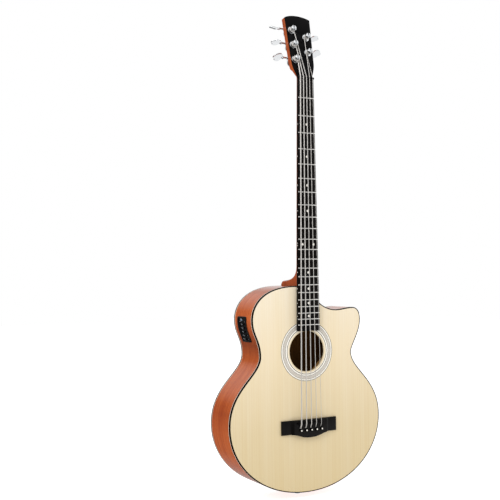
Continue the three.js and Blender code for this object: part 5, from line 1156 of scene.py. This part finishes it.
# Bridge pins
# Black plastic pegs with a collar, a domed head and a white dot, pushed into tapered holes.
PIN_LENGTH = 24
PIN_HEAD = 4
PIN_HEAD_HEIGHT = 5
PIN_DOT = 1.9
seat = BRIDGE_THICKNESS + 0.3
for pin in pins:
    stand = moved(facing, pin["pin_x"], PIN_Z)
    peg = round_loft(f"pin_{pin['number']}", stand, [
        (0, seat - PIN_LENGTH), (PIN_SHANK * 0.7, seat - PIN_LENGTH), (PIN_SHANK, seat - PIN_LENGTH * 0.6),
        (PIN_SHANK, seat), (PIN_HEAD - 0.4, seat), (PIN_HEAD, seat + 0.4), (PIN_HEAD, seat + 1.4),
        (PIN_HEAD - 0.3, seat + 1.9), (PIN_HEAD * 0.9, seat + 2.8), (PIN_HEAD * 0.74, seat + 3.9),
        (PIN_HEAD * 0.5, seat + 4.6), (PIN_HEAD * 0.25, seat + 4.9), (0, seat + PIN_HEAD_HEIGHT),
    ])
    shaded(peg, black_plastic)
    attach(peg, "instrument")
    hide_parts(f"bridge_pin_{pin['number']}")
    dot = round_loft(f"pin_dot_{pin['number']}", stand, [
        (0, seat + 3.5), (PIN_DOT, seat + 3.5), (PIN_DOT, seat + 4.66), (PIN_DOT * 0.6, seat + 5.0),
        (0, seat + 5.1),
    ], sides=20)
    shaded(dot, white_plastic)
    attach(dot, "instrument")

# Strings
# Steel cores wound with round wire, from the post over the nut, along the board, over the saddle
# and down beside the pin, where the ball end bears on the plate under the soundboard.
WAIST_RADIUS = 4.6
WAIST_START = 1.8
WINDING_GAP = 0.5
TURNS = 2
TURN_STEPS = 32
BALL_RADIUS = 3


def tube(name, route, sides=12):
    """A round skin along a route of points in metres with radii, carried without twist."""
    across = Vector((1, 0, 0))
    rows = []
    for i, (point, radius) in enumerate(route):
        into = (point - route[max(i - 1, 0)][0]).normalized()
        away = (route[min(i + 1, len(route) - 1)][0] - point).normalized()
        along = (into + away).normalized()
        across = (across - along * across.dot(along)).normalized()
        beside = along.cross(across)
        rows.append([
            point + (across * math.cos(turn) + beside * math.sin(turn)) * radius * MM
            for turn in [math.tau * k / sides for k in range(sides)]
        ])
    return lofted(name, rows)


head_inverse = head_place.inverted()
for pin, (post_x, post_y) in zip(pins, POSTS):
    number, diameter = pin["number"], pin["diameter"]
    side = -1 if number <= 3 else 1
    radius = diameter / 2
    winding = WAIST_RADIUS + radius + STRING_CLEARANCE
    nut_x = (number - 3) * NUT_SPACING
    nut_y = nut_string_y(diameter)
    nut_local = head_inverse @ at(nut_x, nut_y, NUT_LENGTH) / MM
    to_nut = Vector((nut_local.x - post_x, nut_local.y - post_y))
    leaving = math.atan2(to_nut.y, to_nut.x) - side * math.acos(winding / to_nut.length)
    route = []
    for i in range(TURNS * TURN_STEPS, -1, -1):
        angle = leaving - side * math.tau * i / TURN_STEPS
        low = WAIST_START + radius + STRING_CLEARANCE + (diameter + WINDING_GAP) * i / TURN_STEPS
        route.append((
            on_head(post_x + math.cos(angle) * winding, post_y + math.sin(angle) * winding, low), radius,
        ))
    over = -SADDLE_TOP - STRING_CLEARANCE - radius
    down_z = PIN_Z + STRING_TO_PIN
    ramp_x = pin["saddle_x"] + (pin["string_x"] - pin["saddle_x"]) * 0.8
    route += [
        (at(nut_x, nut_y, NUT_LENGTH), radius), (at(nut_x, nut_y, 0), radius),
        (at(pin["saddle_x"], over, SADDLE_Z + SADDLE_WIDTH / 2), radius),
        (at(pin["saddle_x"], over, SADDLE_Z), radius),
        (at(pin["saddle_x"], over + 0.1, SADDLE_Z - SADDLE_WIDTH / 2), radius),
        (at(ramp_x, -BRIDGE_THICKNESS - diameter * 0.6, down_z + diameter * 0.35), radius),
        (at(pin["string_x"], -BRIDGE_THICKNESS + diameter * 0.4, down_z), radius),
        (at(pin["string_x"], 9, down_z), radius), (at(pin["string_x"], 9.2, down_z), BALL_RADIUS * 0.8),
        (at(pin["string_x"], 9.8, down_z), BALL_RADIUS), (at(pin["string_x"], 12.4, down_z), BALL_RADIUS),
        (at(pin["string_x"], 13, down_z), BALL_RADIUS * 0.8),
    ]
    string = tube(f"string_wound_{number}", route)
    shaded(string, string_metal, angle=60)
    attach(string, "instrument")
    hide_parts(f"string_{number}")

# Tuning machines
# Open chrome machines: a plate screwed on the headstock's back with two ears that hold a worm, a
# wheel on the foot of the slotted post, a washer and hex bushing on the face, and a lobed key.
WHEEL_TEETH = 20
WHEEL_PITCH = 9.5
WORM_PITCH = 3.5
ADDENDUM = 0.85
DEDENDUM = 1.15
MESH_PLANE = 21.5
EAR_WIDTH = 8
EAR_THICKNESS = 2
PLATE_THICKNESS = 1.5
PLATE_MARGIN = 2.2
PLATE_CORNER = 3
KEY_REACH = 41
KEY_COLLAR = 6
BLADE_LENGTH = 27
BLADE_HALF = 14
BLADE_EDGE = ((0.93, 1.5), (0.975, 1.35), (1.0, 0.9))
KEY_TURNS = [math.radians(turn) for turn in (70, 88, 130, 85, 72)]
worm_centre = WHEEL_PITCH + WORM_PITCH
tooth_pitch = math.tau * WHEEL_PITCH / WHEEL_TEETH
worm_tip = WORM_PITCH + ADDENDUM
worm_root = WORM_PITCH - DEDENDUM
wheel_tip = WHEEL_PITCH + ADDENDUM
wheel_root = WHEEL_PITCH - DEDENDUM
ear_reach = 0.3 + max(
    tooth_pitch * (1 + 1 / 3), math.sqrt((wheel_tip + 0.3) ** 2 - (worm_centre - EAR_WIDTH / 2) ** 2),
)
plate_half = ear_reach + EAR_THICKNESS + PLATE_MARGIN
back_face = -HEAD_THICKNESS - 0.3
plate_back = back_face - PLATE_THICKNESS


def blade_outline(start):
    """A key's three-lobed blade, pointing along x."""
    def share(s):
        return start + BLADE_LENGTH * s
    stem, half = 2.5, BLADE_HALF
    curves = [
        ((start - 1.5, -stem), (share(0.1), -stem), (share(0.02), -half), (share(0.4), -half)),
        ((share(0.4), -half), (share(0.75), -half), (share(0.78), -half * 0.5), (share(0.66), -half * 0.42)),
        ((share(0.66), -half * 0.42), (share(1.05), -half * 0.62), (share(1.05), half * 0.62),
         (share(0.66), half * 0.42)),
        ((share(0.66), half * 0.42), (share(0.78), half * 0.5), (share(0.75), half), (share(0.4), half)),
        ((share(0.4), half), (share(0.02), half), (share(0.1), stem), (start - 1.5, stem)),
    ]
    points = []
    for curve in curves:
        points += swept(curve, 15)[:-1]
    return points + [Vector((start - 1.5, stem))]


for (post_x, post_y), turn, number in zip(POSTS, KEY_TURNS, range(1, 6)):
    side = -1 if number <= 3 else 1
    on_post = moved(on_head, post_x, post_y)
    on_worm = moved(on_head, post_x, post_y + worm_centre, -MESH_PLANE)

    def along_shaft(x, y, z):
        """A frame on the worm's axis, with z out towards the key."""
        return on_worm(side * z, x, y)

    def turned_blade(x, y, z):
        """A key's own frame, with x out along its shaft, turned with the key."""
        c, s = math.cos(turn), math.sin(turn)
        z *= side
        return on_worm(side * x, y * c - z * s, y * s + z * c)

    high = worm_centre + EAR_WIDTH / 2 + 1.5
    low = -SLEEVE_HOLE - 3
    cut_x, cut_low, cut_high = plate_half - PLATE_CORNER, low + PLATE_CORNER, high - PLATE_CORNER
    sheet = plate_in(on_head, "sheet", [[
        (post_x + x, post_y + y) for x, y in (
            (-cut_x, low), (cut_x, low), (plate_half, cut_low), (plate_half, cut_high),
            (cut_x, high), (-cut_x, high), (-plate_half, cut_high), (-plate_half, cut_low),
        )
    ]], plate_back, back_face)
    cut(sheet, round_loft("hole", on_post, [(0, -30), (POST_HOLE, -30), (POST_HOLE, 0), (0, 0)]))
    eased(sheet, 0.35)
    parts = [sheet]
    for start in (ear_reach, -ear_reach - EAR_THICKNESS):
        ear = block("ear", on_post, (start, worm_centre - EAR_WIDTH / 2, -MESH_PLANE - EAR_WIDTH / 2),
                    (start + EAR_THICKNESS, worm_centre + EAR_WIDTH / 2, plate_back + 0.1))
        cut(ear, round_loft("hole", along_shaft, [(0, -20), (3.1, -20), (3.1, 20), (0, 20)], sides=24))
        parts.append(eased(ear, 0.5))
    parts.append(round_loft("sleeve", on_post, [
        (POST_HOLE, plate_back), (7, plate_back + 0.1), (7, back_face + 9), (POST_HOLE, back_face + 9),
        (POST_HOLE, plate_back),
    ]))
    for x, y in ((-plate_half + 2.4, low + 3.2), (plate_half - 2.4, low + 3.2),
                 (-plate_half + 2.4, high - 3), (plate_half - 2.4, high - 3)):
        parts.append(round_loft("screw", moved(on_post, x, y), [
            (0, plate_back - 1.0), (1.1, plate_back - 0.9), (1.9, plate_back - 0.3), (1.9, plate_back + 0.2),
            (0, plate_back + 0.2),
        ], sides=16))
    machine = joined(f"machine_plate_{number}", parts)
    shaded(machine, chrome)
    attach(machine, "instrument")
    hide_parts(f"tuner_plate_{number}")

    washer = round_loft(f"bushing_{number}", on_post, [
        (POST_HOLE, 0.05), (9.2, 0.05), (9.2, 0.5), (8.6, 0.9), (7.2, 0.95), (POST_HOLE, 0.95),
        (POST_HOLE, 0.05),
    ], sides=40)
    shaded(washer, chrome)
    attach(washer, "instrument")

    waist_top = WAIST_START + 11.5
    top = waist_top + 3.4
    stem = round_loft("stem", on_post, [
        (0, -25.6), (4.4, -25.6), (5, -25.1), (5, 1.3), (4.75, 1.65), (4.6, 2.2), (4.6, waist_top - 1),
        (5.2, waist_top - 0.1), (6.6, waist_top + 0.6), (7, waist_top + 1.1), (7, waist_top + 2.3),
        (6.6, top - 0.4), (5.9, top), (0, top),
    ])
    cut(stem, block("slot", on_post, (-1.5, -14, top - 6), (1.5, 14, top + 5)))
    eased(stem, 0.25, 2, 50)
    gear_rows = []
    for height in (-2.5, -2.1, 2.1, 2.5):
        ease = 0.3 if abs(height) > 2.3 else 0
        ring = []
        for tooth in range(WHEEL_TEETH):
            for radius, share in ((wheel_root, -0.29), (wheel_tip - ease, -0.14), (wheel_tip - ease, 0.12),
                                  (wheel_root, 0.27)):
                twist = tooth_pitch / (math.tau * WORM_PITCH) / WHEEL_PITCH * height
                angle = math.pi / 2 + math.tau * (tooth + share) / WHEEL_TEETH + twist
                ring.append(on_post(math.cos(angle) * radius, math.sin(angle) * radius, height - MESH_PLANE))
        gear_rows.append(ring)
    wheel = lofted("wheel", gear_rows)
    foot_screw = round_loft("screw", on_post, [
        (0, -26.6), (2.4, -26.5), (3.2, -26), (3.2, -25.4), (0, -25.4),
    ], sides=24)
    post = joined(f"post_{number}", [stem, wheel, foot_screw])
    shaded(post, chrome)
    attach(post, f"post_{number}")
    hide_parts(f"tuner_post_{number}")

    reach = KEY_REACH - abs(post_x)
    blade_start = reach + KEY_COLLAR
    blade_middle = blade_start + BLADE_LENGTH * 0.45
    edges = [(inner, -level) for inner, level in BLADE_EDGE] + list(reversed(BLADE_EDGE))
    blade = lofted("blade", [
        [turned_blade(blade_middle + (x - blade_middle) * inner, y * inner, level)
         for x, y in blade_outline(blade_start)]
        for inner, level in edges
    ])
    spindle = round_loft("spindle", along_shaft, [
        (0, -plate_half), (2.1, -plate_half), (2.5, -plate_half + 0.4), (2.5, blade_start + 1.5),
        (0, blade_start + 1.5),
    ], sides=24)
    core_end = ear_reach - 0.3
    core = round_loft("core", along_shaft, [
        (0, -core_end), (worm_root, -core_end), (worm_root, core_end), (0, core_end),
    ], sides=24)
    collar = round_loft("collar", along_shaft, [
        (0, reach), (3.0, reach), (3.7, reach + 0.8), (4, reach + 1.8), (4, reach + 4.2), (3.6, reach + 5),
        (2.6, blade_start), (0, blade_start),
    ], sides=28)
    thread_rows = []
    for i in range(2 * 24 + 1):
        angle = math.tau * (i / 24 - 1)
        along = tooth_pitch * angle / math.tau
        thread_rows.append([
            on_worm(along + share * tooth_pitch, math.cos(angle) * radius, math.sin(angle) * radius)
            for radius, share in ((worm_root - 0.3, -0.24), (worm_tip, -0.1), (worm_tip, 0.1),
                                  (worm_root - 0.3, 0.24))
        ])
    thread = lofted("thread", thread_rows)
    key = joined(f"key_{number}", [blade, spindle, core, collar, thread])
    shaded(key, chrome)
    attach(key, f"key_{number}")
    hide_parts(f"tuner_key_{number}")

# Preamp
# A moulded frame let into the bass rib, with a hinged panel that carries five faders, a small
# grey window and a battery behind it. The plastic is black with a fine matt grain.
FLANGE_THICKNESS = 2
FLANGE_OVER = 14
FLANGE_UNDER = 9
FLANGE_CLEARANCE = 0.15
PANEL_TOP = 2.325
PANEL_THICKNESS = 2


def moulded_finish():
    """Black ABS with a fine moulded grain of about 0.4 mm."""
    material, tree, shader, place = finish("moulded_abs", 0.4, gloss=0.3)
    grit = node(tree, "ShaderNodeTexNoise", {"Vector": place, "Scale": 2400.0, "Detail": 1.0})
    tint = node(tree, "ShaderNodeMix", {0: grit.outputs[0], 6: paint("#0c0c0d"), 7: paint("#161617")},
                data_type="RGBA")
    relief = node(tree, "ShaderNodeBump", {"Height": grit.outputs[0], "Strength": 0.35, "Distance": 0.0001})
    tree.links.new(tint.outputs[2], shader.inputs["Base Color"])
    tree.links.new(relief.outputs[0], shader.inputs["Normal"])
    return material


moulded = moulded_finish()
window_grey = plastic_finish("window_grey", ("#7d8b99", "#6b7886"), 0.12)
fader_grey = plastic_finish("fader_grey", ("#c9cdd1", "#b4b9be"), 0.4)


def rounded(half_x, half_y, corner, x=0.0, y=0.0, count=6):
    """A rectangle with rounded corners."""
    points = []
    for cx, cy, start in ((1, 1, 0), (-1, 1, 0.5), (-1, -1, 1), (1, -1, 1.5)):
        for i in range(count + 1):
            angle = math.pi * (start + 0.5 * i / count)
            points.append(Vector((
                x + cx * (half_x - corner) + corner * math.cos(angle),
                y + cy * (half_y - corner) + corner * math.sin(angle),
            )))
    return points


window_x = PREAMP_LENGTH / 2 - PREAMP_MARGIN
window_y = PREAMP_WIDTH / 2 - PREAMP_MARGIN
inner_x = window_x - 1.6
inner_y = window_y - 1.6
flange = plate_in(in_preamp, "preamp_surround", [
    rounded(PREAMP_LENGTH / 2, PREAMP_WIDTH / 2, 3.5), rounded(inner_x, inner_y, 0.6, count=2),
], -FLANGE_UNDER, FLANGE_OVER)
body_room = plate("body_room", [drawn_in(-FLANGE_CLEARANCE)], -9, 150)
collar_room = plate_in(in_preamp, "collar_room", [
    rounded(80, 80, 5), rounded(window_x, window_y, 0.8, count=2),
], -30, FLANGE_OVER + 4)
cut(flange, cut(body_room, collar_room, operation="INTERSECT"))
flange_skin = drawn_in(-FLANGE_CLEARANCE - FLANGE_THICKNESS)
cut(flange, plate("skin_room", [flange_skin], -9, 150), operation="INTERSECT")
eased(flange, 0.45)
shaded(flange, moulded)
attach(flange, "instrument")
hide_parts("preamp_frame")

SLIDER_PITCH = 9.4
SLIDER_OFFSET = 6
FADER_ROOM = 0.3
FADER_FOOT = 1.2
KNOB_X = 2
KNOB_Y = 2.5
BATTERY_LENGTH = 48.5
BATTERY_WIDTH = 26.5
BATTERY_HEIGHT = 17.5
WALL_LENGTH = 48.4
WALL_THICKNESS = 1.2
sliders = [(i - 2) * SLIDER_PITCH + SLIDER_OFFSET for i in range(5)]
panel_half_x = inner_x - 0.4
panel_half_y = inner_y - 0.4
sheet = plate_in(in_preamp, "sheet", [
    rounded(panel_half_x, panel_half_y, 0.8, count=2), *[rounded(1.1, 7.8, 1.0, x, 0, 4) for x in sliders],
], PANEL_TOP - PANEL_THICKNESS, PANEL_TOP)
eased(sheet, 0.3)
battery_side = -inner_y + 2
battery_top = PANEL_TOP - PANEL_THICKNESS - FADER_ROOM - FADER_FOOT - FADER_ROOM
walls = [
    block("wall", in_preamp, (-WALL_LENGTH / 2, start, battery_top - 8),
          (WALL_LENGTH / 2, start + WALL_THICKNESS, PANEL_TOP - 1))
    for start in (battery_side - WALL_THICKNESS - 0.3, battery_side + BATTERY_WIDTH + 0.3)
]
panel = joined("preamp_front", [sheet, *walls])
shaded(panel, moulded)
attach(panel, "panel")
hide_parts("preamp_panel")

display = plate_in(in_preamp, "preamp_window", [
    rounded(3.0, 4.5, 0.8, -25.2, -6),
], PANEL_TOP - 0.3, PANEL_TOP + 0.35)
shaded(eased(display, 0.2), window_grey)
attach(display, "panel")
marks = []
for x in (-20, *sliders):
    for y, half in ((-14, 1.2), (-10.5, 0.8), (10.5, 0.6)):
        marks.append(block(
            "mark", in_preamp, (x - 0.5, y - half, PANEL_TOP - 0.1), (x + 0.5, y + half, PANEL_TOP + 0.05),
        ))
scale_marks = joined("fader_scale", marks)
shaded(scale_marks, fader_grey)
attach(scale_marks, "panel")

for number, x in enumerate(sliders, 1):
    knob = block("knob", in_preamp, (x - KNOB_X, -KNOB_Y, PANEL_TOP + FADER_ROOM),
                 (x + KNOB_X, KNOB_Y, PANEL_TOP + 3.7))
    eased(knob, 0.6, 3)
    index = block("index", in_preamp, (x - 1.2, -0.5, PANEL_TOP + 3.4), (x + 1.2, 0.5, PANEL_TOP + 3.75))
    foot_back = battery_top + FADER_ROOM
    stem = block("stem", in_preamp, (x - 0.8, -1.5, foot_back), (x + 0.8, 1.5, PANEL_TOP + 0.6))
    foot = block("foot", in_preamp, (x - KNOB_X, -KNOB_Y, foot_back),
                 (x + KNOB_X, KNOB_Y, foot_back + FADER_FOOT))
    fader = joined(f"fader_{number}", [knob, stem, foot])
    shaded(fader, moulded)
    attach(fader, f"slider_{number}")
    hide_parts(f"preamp_slider_{number}")
    index.name = f"fader_index_{number}"
    shaded(index, fader_grey)
    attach(index, f"slider_{number}")


def crossed(piece, place, reach, half, low, high):
    """A screw's head with a cross cut into it for the driver."""
    return cut(
        piece, block("cross", place, (-reach, -half, low), (reach, half, high)),
        block("cross", place, (-half, -reach, low), (half, reach, high)),
    )


screws = []
skin = [preamp_place.inverted() @ at(point.x, 0, point.y) / MM for point in flange_skin]
for x, y in ((-30.6, -20.6), (-30.6, 20.6), (30.6, -20.6), (30.6, 20.6)):
    lift = [a.z for a, b in zip(skin, skin[1:len(bass_rim)]) if a.x <= x < b.x][0]
    spot = moved(in_preamp, x, y, lift)
    screw = round_loft("screw", spot, [
        (0, -0.4), (1.5, -0.4), (1.5, 0.15), (1.2, 0.35), (0, 0.4),
    ], sides=20)
    screws.append(crossed(screw, spot, 1, 0.18, 0.15, 1))
preamp_screws = joined("preamp_screws", screws)
shaded(preamp_screws, black_plastic)
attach(preamp_screws, "instrument")

# Battery
# A nine-volt block in a plain steel case, gripped between the two walls behind the panel.
case = metal_finish("steel_case", ("#3a4552", "#2c3440"), 0.4)
battery = block("battery_block", in_preamp,
                (-BATTERY_LENGTH / 2, battery_side, battery_top - BATTERY_HEIGHT),
                (BATTERY_LENGTH / 2, battery_side + BATTERY_WIDTH, battery_top))
shaded(eased(battery, 1.2, 3), case)
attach(battery, "panel")
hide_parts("battery")

# Output jack
# A chrome socket through the tail that also holds the strap: a flange against the wood, a neck
# and a rounded end with the hole for the plug.
jack = round_loft("jack_socket", up_from_tail, [
    (3.3, -14.3), (5.6, -14.3), (6.6, -13.9), (7, -13.2), (7, -11.4), (6.6, -10.6), (5.2, -9.2), (4.8, -8),
    (4.8, -4.4), (5.4, -3.6), (8.2, -3.2), (9, -2.6), (9, -0.8), (8.6, -0.3), (6, -0.3), (6, 34), (3.3, 34),
    (3.3, -14.3),
], sides=40)
shaded(jack, chrome)
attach(jack, "instrument")
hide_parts("output_jack")

# Strap button
# A chrome mushroom screwed into the treble side of the heel, over a thin felt washer.
BUTTON_Z = BODY_TOP + 11
BUTTON_Y = HEEL_DEPTH * 0.4


def from_heel(x, y, z):
    """A frame on the heel's treble side, with z out of the wood."""
    return at(HEEL_WIDTH / 2 + z, BUTTON_Y + x, BUTTON_Z + y)


button = round_loft("strap_peg", from_heel, [
    (0, -15), (2, -15), (2, 0.3), (5.9, 0.3), (6.5, 0.8), (5.6, 2.2), (4.1, 3.8), (3.5, 5), (3.5, 8.2),
    (4.2, 9.6), (6.2, 11), (7, 11.8), (7, 12.4), (6.3, 13), (3, 13.25), (0, 13.3),
], sides=40)
shaded(crossed(button, from_heel, 2, 0.4, 12.4, 15), chrome)
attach(button, "instrument")
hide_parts("strap_button")
